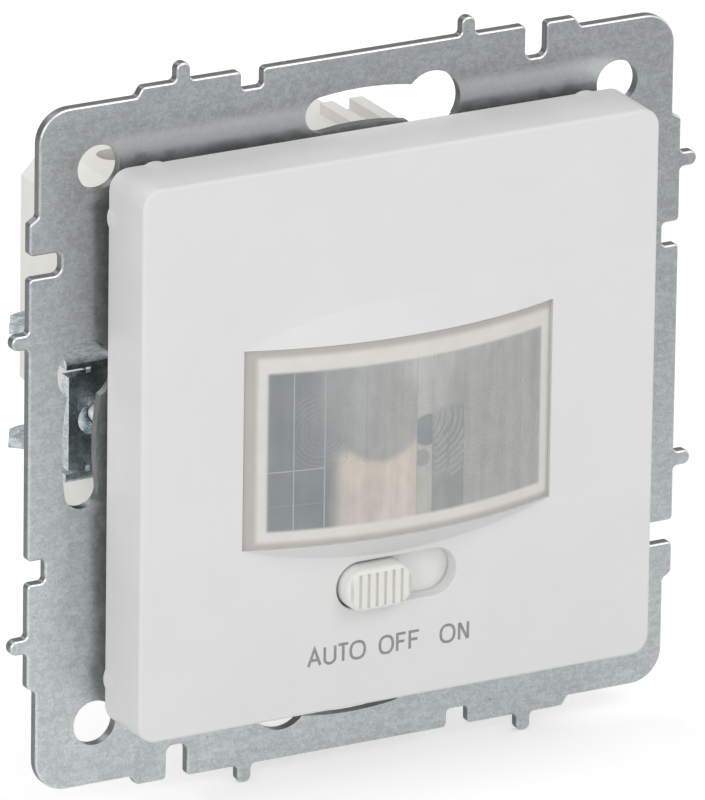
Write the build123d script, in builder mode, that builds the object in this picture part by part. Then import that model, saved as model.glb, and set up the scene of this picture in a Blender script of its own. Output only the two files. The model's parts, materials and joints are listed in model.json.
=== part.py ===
from build123d import *
import os
from math import cos, radians, sin, sqrt, tan

os.makedirs("parts", exist_ok=True)

# Flush-mounted motion sensor light switch.
# X runs to the right, Z up, and the room is on the -Y side of the wall plane.
# Every level is a height above the wall plane towards the room, in mm, so a
# negative level lies inside the wall box. Plane.XZ.offset(level) faces the room.

# Support plate: stamped and galvanised steel, the same on all four sides
plate_thickness = 1.0
rim_width = 7.36
plate_corner_radius = 3.3
plate_edge_radius = 0.28
shoulder_margin = 3.175
shoulder_run = 0.6
shoulder_step = 0.95
edge_rounding = 0.45
tab_width = 1.5
tab_reach = 1.8
tab_rounding = 0.7
inner_place = 11.7
outer_place = 19.1
shallow_notch_width = 2.33
shallow_notch_depth = 1.85
deep_notch_width = 2.25
deep_notch_depth = 3.4
deep_notch_rounding = 0.75

# Keyhole slots for box screws 60 mm apart, and the corner relief holes
box_screw_radius = 30.0
slot_width = 3.6
slot_start_angle = -8.0
slot_end_angle = 15.0
keyhole_radius = 3.07
keyhole_angle = 14.9
keyhole_offset = 0.3
corner_hole_inset = 7.26
corner_hole_radius = 2.25

# The plate's back is coined a little inside the mouth of the wall box
back_relief_margin = 0.6
back_relief_depth = 0.1

# Opening in the middle of the plate
opening_gap = 0.5
opening_corner_radius = 3.0

# The front assembly sits a little above the middle of the plate
front_lift = 0.4
clearance = 0.3
running_clearance = 0.05
overrun = 1.0

# Cover
cover_side_gap = 1.6
cover_offset = (0.25, -0.2)
cover_corner_radius = 2.0
cover_back_level = 2.5
cover_draft = 0.9
cover_wall = 1.6
cover_edge_rounding = 0.35
bump_inset = 4.7
bump_radius = 2.2
bump_proud = 0.22
bump_length = 2.4
bump_fade = 0.3
prong_place = 12.0
prong_width = 5.0
prong_thickness = 1.2
prong_end_level = 3.2

# Lens and the hood that the cover forms round it
lens_arc_radius = 48.0
lens_thickness = 1.0
lens_skirt = 0.8
lens_flange_width = 1.0
lens_flange_thickness = 0.8
lens_gap = 0.05
lens_end_gap = 0.1
hood_spread_share = 0.92
hood_root = 0.8
window_half_width = 14.9
window_half_height = 8.15
window_recess = 0.25

# Light chimney behind the lens
chimney_wall = 0.95
chimney_end_level = 1.3

# Slider for AUTO, OFF and ON
slot_x = 0.12
slot_gap = 0.474
slider_play = 0.25
slot_length = 13.05
slot_height = 4.8
slot_edge_rounding = 0.2
slider_travel = 5.2
knob_length = 7.2
knob_height = 4.3
knob_corner_radius = 1.9
knob_front_level = 11.0
knob_edge_rounding = 0.55
knob_groove_count = 8
knob_rib_pitch = 0.9
knob_groove_width = 0.34
knob_groove_depth = 0.3
knob_groove_length_share = 0.8
slider_flange_length = 15.4
slider_flange_height = 6.6
slider_flange_thickness = 0.8
slider_leg_length = 3.0
slider_leg_height = 2.4
slider_leg_gap = 0.6
stem_length = 1.6
stem_height = 1.1
stem_end_level = 2.0
stem_front_level = 6.2

# Front housing, the tray under the cover
tray_side_margin = 3.25
tray_top_margin = 1.2
tray_corner_radius = 2.4
tray_wall = 1.4
tray_front_level = 6.6
tray_top_thickness = 1.2
tray_flange_reach = 4.8
tray_flange_thickness = 1.8
tray_post_inset = 0.4
tray_post_radius = 2.3

# Sensor board and what stands on it
sensor_board_thickness = 1.2
sensor_board_front_level = 0.8
board_corner_radius = 1.0
pir_place = (1.3, 0.6)
pir_base_radius = 4.6
pir_base_thickness = 0.5
pir_can_radius = 4.1
pir_can_rounding = 0.4
pir_front_level = 5.8
pir_standoff = 0.9
pir_window_width = 4.0
pir_window_height = 3.2
pir_window_thickness = 0.4
pir_lead_radius = 0.23
pir_lead_circle_radius = 2.54
pir_lead_end = 1.4
shroud_radius = 5.3
shroud_wall = 0.5
shroud_front_level = 4.4
light_sensor_place = (-8.2, -2.6)
light_sensor_radius = 2.5
light_sensor_height = 2.4
light_sensor_flat = 0.35
light_sensor_track_width = 0.35
light_sensor_track_depth = 0.15
led_place = (1.3, -6.2)
led_lens_radius = 1.25
led_flange_radius = 1.45
led_flange_height = 1.0
led_height = 4.6
led_dome_share = 0.9
chip_place = (8.0, -3.0)
chip_size = (5.0, 4.0, 1.5)
chip_pin_count = 4
chip_pin_width = 0.42
chip_pin_reach = 1.0
chip_pin_thickness = 0.25
switch_body_length = 9.6
switch_body_height = 4.4
switch_body_front_level = 4.2
switch_body_floor = 0.8
trimmer_x = 8.0
trimmer_gap = 1.9
trimmer_body_half = 3.2
trimmer_body_front_level = 4.2
dial_radius = 2.6
dial_inset = 0.3
dial_gap = 0.3
dial_shaft_radius = 0.9
dial_shaft_length = 2.0
dial_groove_width = 0.7
dial_groove_depth = 0.6
dial_edge_rounding = 0.2
dial_groove_share = 0.75
link_pin_count = 6
link_pin_pitch = 2.54
link_pin_side = 0.64
link_pin_place = -11.2
link_pin_tail = 0.3
link_pin_inset = 0.1
link_pin_hole_radius = 0.5
link_strip_height = 2.5
link_strip_side = 2.3

# Rear housing, the box behind the plate
box_side_gap = 0.3
box_rim_seat = 0.5
box_wall = 1.6
waist_gap = 0.5
shoulder_gap = 0.4
bottom_chamfer = 4.0
lower_left_inset = 1.2
top_left_chamfer = 3.0
top_right_chamfer = 12.4
bulge_bottom = -3.5
bulge_gap = 0.5
bulge_chamfer = 0.9
box_edge_rounding = 0.5
pedestal_left = -10.0
pedestal_right = 7.6
pedestal_height = 3.8
pedestal_depth = 12.0
pedestal_front_depth = 2.4
guide_rib_places = (2.7, 5.9)
guide_rib_thickness = 1.4
guide_rib_height = 1.1
screw_boss_radius = 2.7
screw_head_radius = 1.75
screw_head_height = 1.4
screw_shank_radius = 1.1
screw_head_depth = 12.0
screw_channel_radius = 1.9
screw_tip_level = 4.3
screw_drive_width = 0.6
screw_drive_depth = 0.7
board_rest_depth = 2.0
board_rest_half_height = 5.0
board_rest_width = 1.5

# Power board and its components
power_board_level = -7.0
power_board_thickness = 1.4
power_board_end_gap = 1.4
component_back_gap = 1.0
relay_corner = (-3.0, -17.5)
relay_size = (15.0, 15.0, 15.5)
relay_rounding = 0.6
film_capacitor_corner = (-12.2, -12.0)
film_capacitor_size = (6.0, 13.0, 12.0)
can_capacitor_places = ((9.4, 3.6), (0.4, 5.2))
can_capacitor_radius = 4.0
can_capacitor_height = 11.0
can_capacitor_groove = 0.35
varistor_place = (-9.2, 6.6)
varistor_radius = 4.2
varistor_thickness = 3.6
varistor_lead_radius = 0.4
varistor_standoff = 1.2
fuse_corner = (4.6, 10.9)
fuse_size = (8.0, 4.0, 7.6)

# Terminals along the top edge
terminal_count = 3
terminal_pitch = 6.0
terminal_side_gap = 2.6
cage_width = 5.2
cage_length = 7.0
cage_height = 6.0
cage_back_gap = 1.6
cage_wall = 0.8
wire_hole_radius = 1.7
terminal_head_radius = 2.1
terminal_head_height = 1.8
terminal_shank_radius = 1.4
terminal_head_inset = 0.6

# Spreading claws, one on each side
claw_screw_edge = 2.5
claw_lever = 3.5
claw_pivot_depth = 9.0
claw_pin_radius = 0.9
claw_pin_bite = 1.3
claw_sheet = 1.0
claw_half_height = 6.3
claw_ear_radius = 2.2
claw_web_depth = 6.2
claw_web_outer_reach = 4.6
claw_web_inner_reach = 2.7
claw_lip_reach = 0.5
claw_relief_width = 0.6
claw_relief_length = 2.6
claw_arm_outer_reach = 2.5
claw_arm_inner_inset = 0.4
claw_arm_bend = 12.5
claw_shoulder_depth = 10.6
claw_teeth = ((17.8, 2.3), (19.95, 1.1))
claw_tooth_back_share = 0.45
claw_arm_end = 20.6
claw_bend_radius = 0.7
claw_screw_radius = 1.45
claw_screw_hole_radius = 1.7
claw_screw_head_radius = 2.6
claw_screw_head_height = 1.7
claw_screw_length = 14.0
claw_opening_angle = 24.0
claw_nut_radius = 2.3
claw_nut_end_gap = 0.9
claw_nut_gap = 0.1
claw_slot_clearance = 0.15
head_notch_half = 3.9

# Levels and depths worked out from the sizes above
slider_flange_back_level = tray_front_level + running_clearance
slider_flange_front_level = slider_flange_back_level + slider_flange_thickness
cover_inner_level = slider_flange_front_level + slider_play
cover_front_level = cover_inner_level + cover_wall
slider_leg_end_level = switch_body_front_level + slider_leg_gap
sensor_board_back_level = sensor_board_front_level - sensor_board_thickness
dial_front_level = tray_front_level - dial_inset
dial_back_level = trimmer_body_front_level + dial_gap
power_board_back_level = power_board_level - power_board_thickness
box_floor_level = power_board_back_level - relay_size[2] - component_back_gap
box_depth = box_wall - box_floor_level
cage_front_depth = -box_floor_level - cage_back_gap - cage_height
wire_hole_y = cage_front_depth + cage_wall + wire_hole_radius + running_clearance
bulge_front = claw_screw_length - plate_thickness + bulge_gap

# Window, lens and what lies above and below it
chimney_half_width = window_half_width + chimney_wall
chimney_half_height = window_half_height + chimney_wall
lens_half_width = chimney_half_width + lens_skirt + 2 * lens_gap
lens_half_height = chimney_half_height + lens_skirt + 2 * lens_gap + lens_end_gap
lens_axis_y = -cover_front_level + sqrt(lens_arc_radius**2 - lens_half_width**2)
lens_apex_level = lens_arc_radius - lens_axis_y
lens_outline_half_width = lens_half_width - lens_gap
lens_outline_half_height = lens_half_height - lens_gap
hood_reach = (lens_apex_level - cover_front_level) * hood_spread_share
knob_z = front_lift - lens_half_height - hood_reach - slot_gap - slot_height / 2
slot_place = (slot_x, knob_z)
knob_centre = (slot_x - slider_travel / 2, knob_z)
trimmer_z = front_lift + chimney_half_height + trimmer_gap + trimmer_body_half
trimmer_place = (trimmer_x, trimmer_z)

# Tray round the lens and the trimmers, then the plate and the cover round the tray
tray_centre = (0, front_lift)
tray_half = max(
    lens_half_width + tray_side_margin,
    trimmer_z + trimmer_body_half - front_lift + tray_top_margin + tray_wall,
)
sensor_board_half = tray_half - tray_wall - clearance
tray_post_place = sensor_board_half - tray_post_radius - tray_post_inset
screw_boss_place = (tray_post_place, front_lift - tray_post_place)
tray_flange_half = tray_half + tray_flange_reach
opening_half = tray_half + opening_gap
cover_centre = (cover_offset[0], front_lift + cover_offset[1])
cover_half = tray_flange_half + cover_side_gap + cover_wall
plate_half = cover_half + rim_width
plate_end_half = plate_half - shoulder_step
shoulder_half_length = outer_place + deep_notch_width / 2 + shoulder_margin
corner_hole_place = plate_half - corner_hole_inset
keyhole_circle_radius = box_screw_radius + keyhole_offset
bump_place = cover_half - bump_inset

# Claws at the edge of the opening, and the box between them
claw_screw_place = opening_half + claw_screw_edge
claw_pivot = (claw_screw_place - claw_lever, claw_pivot_depth)
claw_outer = claw_screw_place + claw_web_outer_reach
claw_web_inner = claw_screw_place - claw_web_inner_reach
claw_arm_outer = claw_screw_place + claw_arm_outer_reach
claw_arm_inner = claw_screw_place - claw_arm_inner_inset
claw_inner_half = claw_half_height - claw_sheet
claw_lip_half_height = claw_inner_half - claw_relief_width
claw_nut_half_length = claw_inner_half - claw_nut_end_gap
waist_half_width = claw_pivot[0] - claw_ear_radius - waist_gap
waist_half_height = claw_half_height + shoulder_gap
claw_pin_half_length = waist_half_height + claw_pin_bite
box_half_width = claw_arm_inner - box_side_gap
box_half_height = opening_half + box_rim_seat
pedestal_top = box_half_height + pedestal_height
power_board_half_width = waist_half_width - box_wall - clearance
power_board_half_height = box_half_height - box_wall - power_board_end_gap
terminal_x = box_wall + terminal_side_gap + cage_width / 2 - box_half_width + terminal_pitch
terminal_z = box_half_height - box_wall - cage_length / 2


def plate_side():
    """Corner points of the plate's top side, left to right, each with its rounding."""
    points = [
        (-plate_end_half, plate_end_half, plate_corner_radius),
        (-shoulder_half_length - shoulder_run, plate_end_half, edge_rounding),
        (-shoulder_half_length, plate_half, edge_rounding),
    ]
    steps = [
        (-outer_place, tab_width, tab_reach, tab_rounding),
        (-inner_place, shallow_notch_width, -shallow_notch_depth, edge_rounding),
        (inner_place, tab_width, tab_reach, tab_rounding),
        (outer_place, deep_notch_width, -deep_notch_depth, deep_notch_rounding),
    ]
    for place, width, reach, rounding in steps:
        left = place - width / 2
        right = place + width / 2
        points.append((left, plate_half, edge_rounding))
        points.append((left, plate_half + reach, rounding))
        points.append((right, plate_half + reach, rounding))
        points.append((right, plate_half, edge_rounding))
    points.append((shoulder_half_length, plate_half, edge_rounding))
    points.append((shoulder_half_length + shoulder_run, plate_end_half, edge_rounding))
    return points


def plate_outline():
    """The closed outline of the plate: its top side turned four times."""
    outline = []
    for turn in range(4):
        side = plate_side()
        for _ in range(turn):
            side = [(z, -x, rounding) for x, z, rounding in side]
        outline += side
    return outline


def between(low_x, high_x, low_z, high_z, mode=Mode.ADD):
    """A rectangle in the sketch plane, given by its four limits."""
    with Locations(((low_x + high_x) / 2, (low_z + high_z) / 2)):
        return Rectangle(high_x - low_x, high_z - low_z, mode=mode)


def box_outline():
    """The outline of the box behind the plate: waisted at the claws, with cut corners."""
    wide = box_half_width
    tall = box_half_height
    lower_left = lower_left_inset - wide
    return [
        (-wide, tall - top_left_chamfer),
        (-wide + top_left_chamfer, tall),
        (wide - top_right_chamfer, tall),
        (wide, tall - top_right_chamfer),
        (wide, waist_half_height),
        (waist_half_width, waist_half_height),
        (waist_half_width, -waist_half_height),
        (wide, -waist_half_height),
        (wide, bottom_chamfer - tall),
        (wide - bottom_chamfer, -tall),
        (lower_left + bottom_chamfer, -tall),
        (lower_left, bottom_chamfer - tall),
        (lower_left, -waist_half_height),
        (-waist_half_width, -waist_half_height),
        (-waist_half_width, waist_half_height),
        (-wide, waist_half_height),
    ]


def bowed_block(half_width, half_height, arc_radius, back_level):
    """A block centred on the lens, bounded in front by an upright cylinder."""
    with BuildPart() as block:
        with BuildSketch(Plane.XZ.offset(back_level)):
            with Locations(tray_centre):
                Rectangle(2 * half_width, 2 * half_height)
        extrude(amount=lens_apex_level - back_level)
        with BuildSketch(Plane.XY.offset(front_lift - half_height)):
            with Locations((0, lens_axis_y)):
                Circle(arc_radius)
        extrude(amount=2 * half_height, mode=Mode.INTERSECT)
    return block.part


def claw_arm_outline():
    """One arm of the left claw in plan, as distances to the left and depths."""
    points = [
        (claw_web_inner, claw_web_depth),
        (claw_outer, claw_web_depth),
        (claw_outer, claw_pivot[1]),
        (claw_arm_outer, claw_shoulder_depth),
    ]
    for depth, reach in claw_teeth:
        points.append((claw_arm_outer, depth - reach))
        points.append((claw_arm_outer + reach, depth))
        points.append((claw_arm_outer, depth + reach * claw_tooth_back_share))
    points += [
        (claw_arm_inner, claw_arm_end),
        (claw_arm_inner, claw_arm_bend),
        (claw_pivot[0], claw_pivot[1] + claw_ear_radius),
        (claw_pivot[0], claw_web_depth),
    ]
    return [(-left, depth) for left, depth in points]


# Support plate
outline = plate_outline()
slot_arc = CenterArc(
    (0, 0), box_screw_radius, 90 - slot_end_angle, slot_end_angle - slot_start_angle
)
with BuildPart() as support_plate:
    with BuildSketch(Plane.XZ):
        with BuildLine():
            FilletPolyline(
                [(x, z) for x, z, rounding in outline],
                radius=[rounding for x, z, rounding in outline],
                close=True,
            )
        make_face()
    extrude(amount=plate_thickness)
    fillet(support_plate.edges().group_by(Axis.Y)[0], radius=plate_edge_radius)
    with BuildSketch(Plane.XZ.offset(plate_thickness)):
        RectangleRounded(2 * opening_half, 2 * opening_half, opening_corner_radius)
        with GridLocations(2 * corner_hole_place, 2 * corner_hole_place, 2, 2):
            Circle(corner_hole_radius)
        with PolarLocations(0, 4):
            SlotArc(slot_arc, slot_width)
        with PolarLocations(keyhole_circle_radius, 4, start_angle=90 - keyhole_angle):
            Circle(keyhole_radius)
        with GridLocations(2 * claw_screw_place, 0, 2, 1):
            Circle(claw_screw_hole_radius)
    extrude(amount=-plate_thickness, mode=Mode.SUBTRACT)
    with BuildSketch(Plane.XZ):
        Circle(box_screw_radius - back_relief_margin)
    extrude(amount=back_relief_depth, mode=Mode.SUBTRACT)
support_plate.part.label = "support_plate"
export_step(support_plate.part, "parts/support_plate.step")


# Front housing: a tray that drops into the plate's opening and carries the sensor board
with BuildPart() as front_housing:
    with BuildSketch(Plane.XZ.offset(plate_thickness)):
        with Locations(tray_centre):
            RectangleRounded(2 * tray_flange_half, 2 * tray_flange_half, tray_corner_radius)
        for side in (-1, 1):
            with Locations((side * (claw_screw_place + head_notch_half / 2), 0)):
                Rectangle(3 * head_notch_half, 2 * head_notch_half, mode=Mode.SUBTRACT)
    extrude(amount=tray_flange_thickness)
    with BuildSketch(Plane.XZ):
        with Locations(tray_centre):
            RectangleRounded(2 * tray_half, 2 * tray_half, tray_corner_radius)
    extrude(amount=tray_front_level)
    front_edges = front_housing.edges().group_by(Axis.Y)[0]
    fillet(front_edges, radius=tray_wall / 2)
    with BuildSketch(Plane.XZ):
        with Locations(tray_centre):
            RectangleRounded(
                2 * (tray_half - tray_wall),
                2 * (tray_half - tray_wall),
                tray_corner_radius - tray_wall,
            )
    extrude(amount=tray_front_level - tray_top_thickness, mode=Mode.SUBTRACT)
    with BuildSketch(Plane.XZ.offset(sensor_board_front_level)):
        with Locations(tray_centre):
            with GridLocations(2 * tray_post_place, 2 * tray_post_place, 2, 2):
                Circle(tray_post_radius)
    extrude(amount=tray_front_level - tray_top_thickness - sensor_board_front_level)
    with BuildSketch(Plane.XZ.offset(tray_front_level)):
        with Locations(tray_centre):
            Rectangle(
                2 * (chimney_half_width + clearance), 2 * (chimney_half_height + clearance)
            )
        with Locations(slot_place):
            Rectangle(
                slider_travel + slider_leg_length + 2 * clearance,
                slider_leg_height + 2 * clearance,
            )
        for side in (-1, 1):
            with Locations((side * trimmer_place[0], trimmer_place[1])):
                Circle(dial_radius + clearance)
    extrude(amount=-tray_top_thickness, mode=Mode.SUBTRACT)
    with BuildSketch(Plane.XZ.offset(sensor_board_front_level)):
        for side in (-1, 1):
            with Locations((side * screw_boss_place[0], screw_boss_place[1])):
                Circle(screw_shank_radius)
    extrude(amount=screw_tip_level - sensor_board_front_level, mode=Mode.SUBTRACT)
front_housing.part.label = "front_housing"
export_step(front_housing.part, "parts/front_housing.step")


# Cover: a shallow square cap with a hooded window for the lens
hood_slant = sqrt(1 + hood_spread_share**2)
with BuildPart() as cover:
    with BuildSketch(Plane.XZ.offset(cover_back_level)):
        with Locations(cover_centre):
            RectangleRounded(2 * cover_half, 2 * cover_half, cover_corner_radius)
    extrude(amount=cover_front_level - cover_back_level, taper=cover_draft)
    fillet(cover.edges().group_by(Axis.Y)[0], radius=cover_edge_rounding)
    with Locations(Plane.XZ.offset(cover_back_level)):
        with Locations(cover_centre):
            with PolarLocations(cover_half + bump_proud - bump_radius, 4):
                with GridLocations(0, 2 * bump_place, 1, 2):
                    Cone(
                        bump_radius,
                        bump_radius - bump_fade,
                        bump_length,
                        align=(Align.CENTER, Align.CENTER, Align.MIN),
                    )
    for side in (-1, 1):
        with BuildSketch(Plane.XY.offset(front_lift + side * lens_half_height)):
            with BuildLine():
                hood_arc = ThreePointArc(
                    (-lens_half_width, -cover_front_level),
                    (0, -lens_apex_level),
                    (lens_half_width, -cover_front_level),
                )
                Polyline(
                    hood_arc @ 1,
                    (lens_half_width, hood_root - cover_front_level),
                    (-lens_half_width, hood_root - cover_front_level),
                    hood_arc @ 0,
                )
            make_face()
        extrude(
            amount=(lens_apex_level - cover_inner_level) * hood_slant,
            dir=(0, 1, side * hood_spread_share),
        )
    with BuildSketch(Plane.XZ.offset(cover_inner_level)):
        with Locations(cover_centre):
            RectangleRounded(
                2 * (cover_half - cover_wall),
                2 * (cover_half - cover_wall),
                cover_corner_radius - cover_wall,
            )
    extrude(amount=-(cover_inner_level - plate_thickness), mode=Mode.SUBTRACT)
    with BuildSketch(Plane.XZ.offset(lens_apex_level + overrun)):
        with Locations(tray_centre):
            Rectangle(2 * lens_half_width, 2 * lens_half_height)
        with Locations(slot_place):
            SlotOverall(slot_length, slot_height)
    extrude(amount=-(lens_apex_level - cover_inner_level + 2 * overrun), mode=Mode.SUBTRACT)
    slot_edges = (
        cover.edges()
        .filter_by_position(Axis.Y, -cover_front_level, -cover_front_level)
        .filter_by_position(Axis.Z, knob_z - slot_height / 2, knob_z + slot_height / 2)
        .filter_by_position(Axis.X, -slot_length, slot_length)
    )
    fillet(slot_edges, radius=slot_edge_rounding)
    with BuildSketch(Plane.XZ.offset(prong_end_level)):
        for side in (-1, 1):
            with Locations((side * (tray_half + clearance / 2 + prong_thickness / 2), front_lift)):
                with GridLocations(0, 2 * prong_place, 1, 2):
                    Rectangle(prong_thickness, prong_width)
    extrude(amount=cover_inner_level - prong_end_level)
cover.part.label = "cover"
export_step(cover.part, "parts/cover.step")


# Lens: a curved translucent shell with a skirt and a flange behind the cover
lens_front_block = bowed_block(
    lens_outline_half_width, lens_outline_half_height, lens_arc_radius, cover_inner_level
)
lens_window_hollow = bowed_block(
    window_half_width,
    window_half_height,
    lens_arc_radius - lens_thickness + window_recess,
    cover_inner_level - lens_flange_thickness,
)
lens_hollow = bowed_block(
    lens_outline_half_width - lens_skirt,
    lens_outline_half_height - lens_skirt,
    lens_arc_radius - lens_thickness,
    cover_inner_level - lens_flange_thickness,
)
with BuildPart() as fresnel_lens:
    add(lens_front_block)
    with BuildSketch(Plane.XZ.offset(cover_inner_level)):
        with Locations(tray_centre):
            Rectangle(
                2 * (lens_outline_half_width + lens_flange_width),
                2 * (lens_outline_half_height + lens_flange_width),
            )
    extrude(amount=-lens_flange_thickness)
    add(lens_hollow, mode=Mode.SUBTRACT)
    add(lens_window_hollow, mode=Mode.SUBTRACT)
fresnel_lens.part.label = "fresnel_lens"
export_step(fresnel_lens.part, "parts/fresnel_lens.step")


# Light chimney: a white frame that shields the sensor and backs the lens's border
chimney_block = bowed_block(
    chimney_half_width,
    chimney_half_height,
    lens_arc_radius - lens_thickness - lens_gap,
    chimney_end_level,
)
with BuildPart() as light_chimney:
    add(chimney_block)
    with BuildSketch(Plane.XZ.offset(chimney_end_level)):
        with Locations(tray_centre):
            Rectangle(2 * window_half_width, 2 * window_half_height)
    extrude(amount=lens_apex_level - chimney_end_level, mode=Mode.SUBTRACT)
light_chimney.part.label = "light_chimney"
export_step(light_chimney.part, "parts/light_chimney.step")


# Slider knob with its flange and leg, in the AUTO position
with BuildPart() as slider_knob:
    with BuildSketch(Plane.XZ.offset(slider_flange_front_level)):
        with Locations(knob_centre):
            RectangleRounded(knob_length, knob_height, knob_corner_radius)
    extrude(amount=knob_front_level - slider_flange_front_level)
    fillet(slider_knob.edges().group_by(Axis.Y)[0], radius=knob_edge_rounding)
    with BuildSketch(Plane.XZ.offset(knob_front_level)):
        with Locations(knob_centre):
            with GridLocations(knob_rib_pitch, 0, knob_groove_count, 1):
                Rectangle(knob_groove_width, knob_height * knob_groove_length_share)
    extrude(amount=-knob_groove_depth, mode=Mode.SUBTRACT)
    with BuildSketch(Plane.XZ.offset(slider_flange_back_level)):
        with Locations(knob_centre):
            SlotOverall(slider_flange_length, slider_flange_height)
    extrude(amount=slider_flange_thickness)
    with BuildSketch(Plane.XZ.offset(slider_leg_end_level)):
        with Locations(knob_centre):
            Rectangle(slider_leg_length, slider_leg_height)
    extrude(amount=slider_flange_back_level - slider_leg_end_level)
    with BuildSketch(Plane.XZ.offset(slider_leg_end_level)):
        with Locations(knob_centre):
            Rectangle(stem_length, stem_height)
    extrude(amount=stem_front_level - slider_leg_end_level, mode=Mode.SUBTRACT)
slider_knob.part.label = "slider_knob"
export_step(slider_knob.part, "parts/slider_knob.step")


# Stem of the slide switch, which the knob's leg grips
with BuildPart() as mode_switch_stem:
    with BuildSketch(Plane.XZ.offset(stem_end_level)):
        with Locations(knob_centre):
            Rectangle(stem_length, stem_height)
    extrude(amount=stem_front_level - stem_end_level)
mode_switch_stem.part.label = "mode_switch_stem"
export_step(mode_switch_stem.part, "parts/mode_switch_stem.step")


# Slide switch body, with the channel that its stem runs in
with BuildPart() as mode_switch_body:
    with BuildSketch(Plane.XZ.offset(sensor_board_front_level)):
        with Locations(slot_place):
            Rectangle(switch_body_length, switch_body_height)
    extrude(amount=switch_body_front_level - sensor_board_front_level)
    with BuildSketch(Plane.XZ.offset(sensor_board_front_level + switch_body_floor)):
        with Locations(slot_place):
            Rectangle(
                slider_travel + stem_length + 2 * clearance,
                stem_height + 2 * running_clearance,
            )
    extrude(amount=switch_body_front_level - sensor_board_front_level, mode=Mode.SUBTRACT)
mode_switch_body.part.label = "mode_switch_body"
export_step(mode_switch_body.part, "parts/mode_switch_body.step")


# Sensor board
with BuildPart() as sensor_board:
    with BuildSketch(Plane.XZ.offset(sensor_board_back_level)):
        with Locations(tray_centre):
            RectangleRounded(2 * sensor_board_half, 2 * sensor_board_half, board_corner_radius)
        with Locations((0, screw_boss_place[1])):
            with GridLocations(2 * screw_boss_place[0], 0, 2, 1):
                Circle(screw_shank_radius + running_clearance, mode=Mode.SUBTRACT)
        with Locations((0, link_pin_place)):
            with GridLocations(link_pin_pitch, 0, link_pin_count, 1):
                Circle(link_pin_hole_radius, mode=Mode.SUBTRACT)
        with Locations(pir_place):
            with PolarLocations(pir_lead_circle_radius, 3, angular_range=180, endpoint=True):
                Circle(pir_lead_radius + running_clearance, mode=Mode.SUBTRACT)
    extrude(amount=sensor_board_thickness)
sensor_board.part.label = "sensor_board"
export_step(sensor_board.part, "parts/sensor_board.step")


# Infrared sensor: a metal can on a base, with a window in front and leads behind
pir_base_level = sensor_board_front_level + pir_standoff
with BuildPart() as pir_sensor_can:
    with BuildSketch(Plane.XZ.offset(pir_base_level)):
        with Locations(pir_place):
            Circle(pir_base_radius)
    extrude(amount=pir_base_thickness)
    with BuildSketch(Plane.XZ.offset(pir_base_level)):
        with Locations(pir_place):
            Circle(pir_can_radius)
    extrude(amount=pir_front_level - pir_base_level)
    fillet(pir_sensor_can.edges().group_by(Axis.Y)[0], radius=pir_can_rounding)
    with BuildSketch(Plane.XZ.offset(pir_front_level)):
        with Locations(pir_place):
            Rectangle(pir_window_width, pir_window_height)
    extrude(amount=-pir_window_thickness, mode=Mode.SUBTRACT)
    with BuildSketch(Plane.XZ.offset(pir_base_level)):
        with Locations(pir_place):
            with PolarLocations(pir_lead_circle_radius, 3, angular_range=180, endpoint=True):
                Circle(pir_lead_radius)
    extrude(amount=-(pir_standoff + sensor_board_thickness + pir_lead_end))
pir_sensor_can.part.label = "pir_sensor_can"
export_step(pir_sensor_can.part, "parts/pir_sensor_can.step")

with BuildPart() as pir_sensor_window:
    with BuildSketch(Plane.XZ.offset(pir_front_level)):
        with Locations(pir_place):
            Rectangle(pir_window_width, pir_window_height)
    extrude(amount=-pir_window_thickness)
pir_sensor_window.part.label = "pir_sensor_window"
export_step(pir_sensor_window.part, "parts/pir_sensor_window.step")

with BuildPart() as sensor_shroud:
    with BuildSketch(Plane.XZ.offset(sensor_board_front_level)):
        with Locations(pir_place):
            Circle(shroud_radius)
            Circle(shroud_radius - shroud_wall, mode=Mode.SUBTRACT)
    extrude(amount=shroud_front_level - sensor_board_front_level)
sensor_shroud.part.label = "sensor_shroud"
export_step(sensor_shroud.part, "parts/sensor_shroud.step")


# Light sensor: a flat-sided disc with a winding track on its face
with BuildPart() as light_sensor:
    with BuildSketch(Plane.XZ.offset(sensor_board_front_level)):
        with Locations(light_sensor_place):
            Circle(light_sensor_radius)
            Rectangle(
                2 * light_sensor_radius,
                2 * light_sensor_radius - 2 * light_sensor_flat,
                mode=Mode.INTERSECT,
            )
    extrude(amount=light_sensor_height)
    with BuildSketch(Plane.XZ.offset(sensor_board_front_level + light_sensor_height)):
        with Locations(light_sensor_place):
            with GridLocations(0, 2 * light_sensor_track_width, 1, 5):
                Rectangle(light_sensor_radius, light_sensor_track_width)
    extrude(amount=-light_sensor_track_depth, mode=Mode.SUBTRACT)
light_sensor.part.label = "light_sensor"
export_step(light_sensor.part, "parts/light_sensor.step")


# Status lamp: a small light-emitting diode with a domed front
with BuildPart() as status_led:
    with BuildSketch(Plane.XZ.offset(sensor_board_front_level)):
        with Locations(led_place):
            Circle(led_flange_radius)
    extrude(amount=led_flange_height)
    with BuildSketch(Plane.XZ.offset(sensor_board_front_level)):
        with Locations(led_place):
            Circle(led_lens_radius)
    extrude(amount=led_height)
    fillet(status_led.edges().group_by(Axis.Y)[0], radius=led_dome_share * led_lens_radius)
status_led.part.label = "status_led"
export_step(status_led.part, "parts/status_led.step")


# Controller chip on the back of the sensor board
chip_centre = (chip_place[0], chip_place[1])
with BuildPart() as controller_chip:
    with BuildSketch(Plane.XZ.offset(sensor_board_back_level - chip_pin_thickness)):
        with Locations(chip_centre):
            Rectangle(chip_size[0], chip_size[1])
    extrude(amount=-chip_size[2])
    with BuildSketch(Plane.XZ.offset(sensor_board_back_level)):
        with Locations(chip_centre):
            with GridLocations(chip_size[0] / chip_pin_count, 0, chip_pin_count, 1):
                Rectangle(chip_pin_width, chip_size[1] + 2 * chip_pin_reach)
    extrude(amount=-2 * chip_pin_thickness)
controller_chip.part.label = "controller_chip"
export_step(controller_chip.part, "parts/controller_chip.step")


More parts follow.
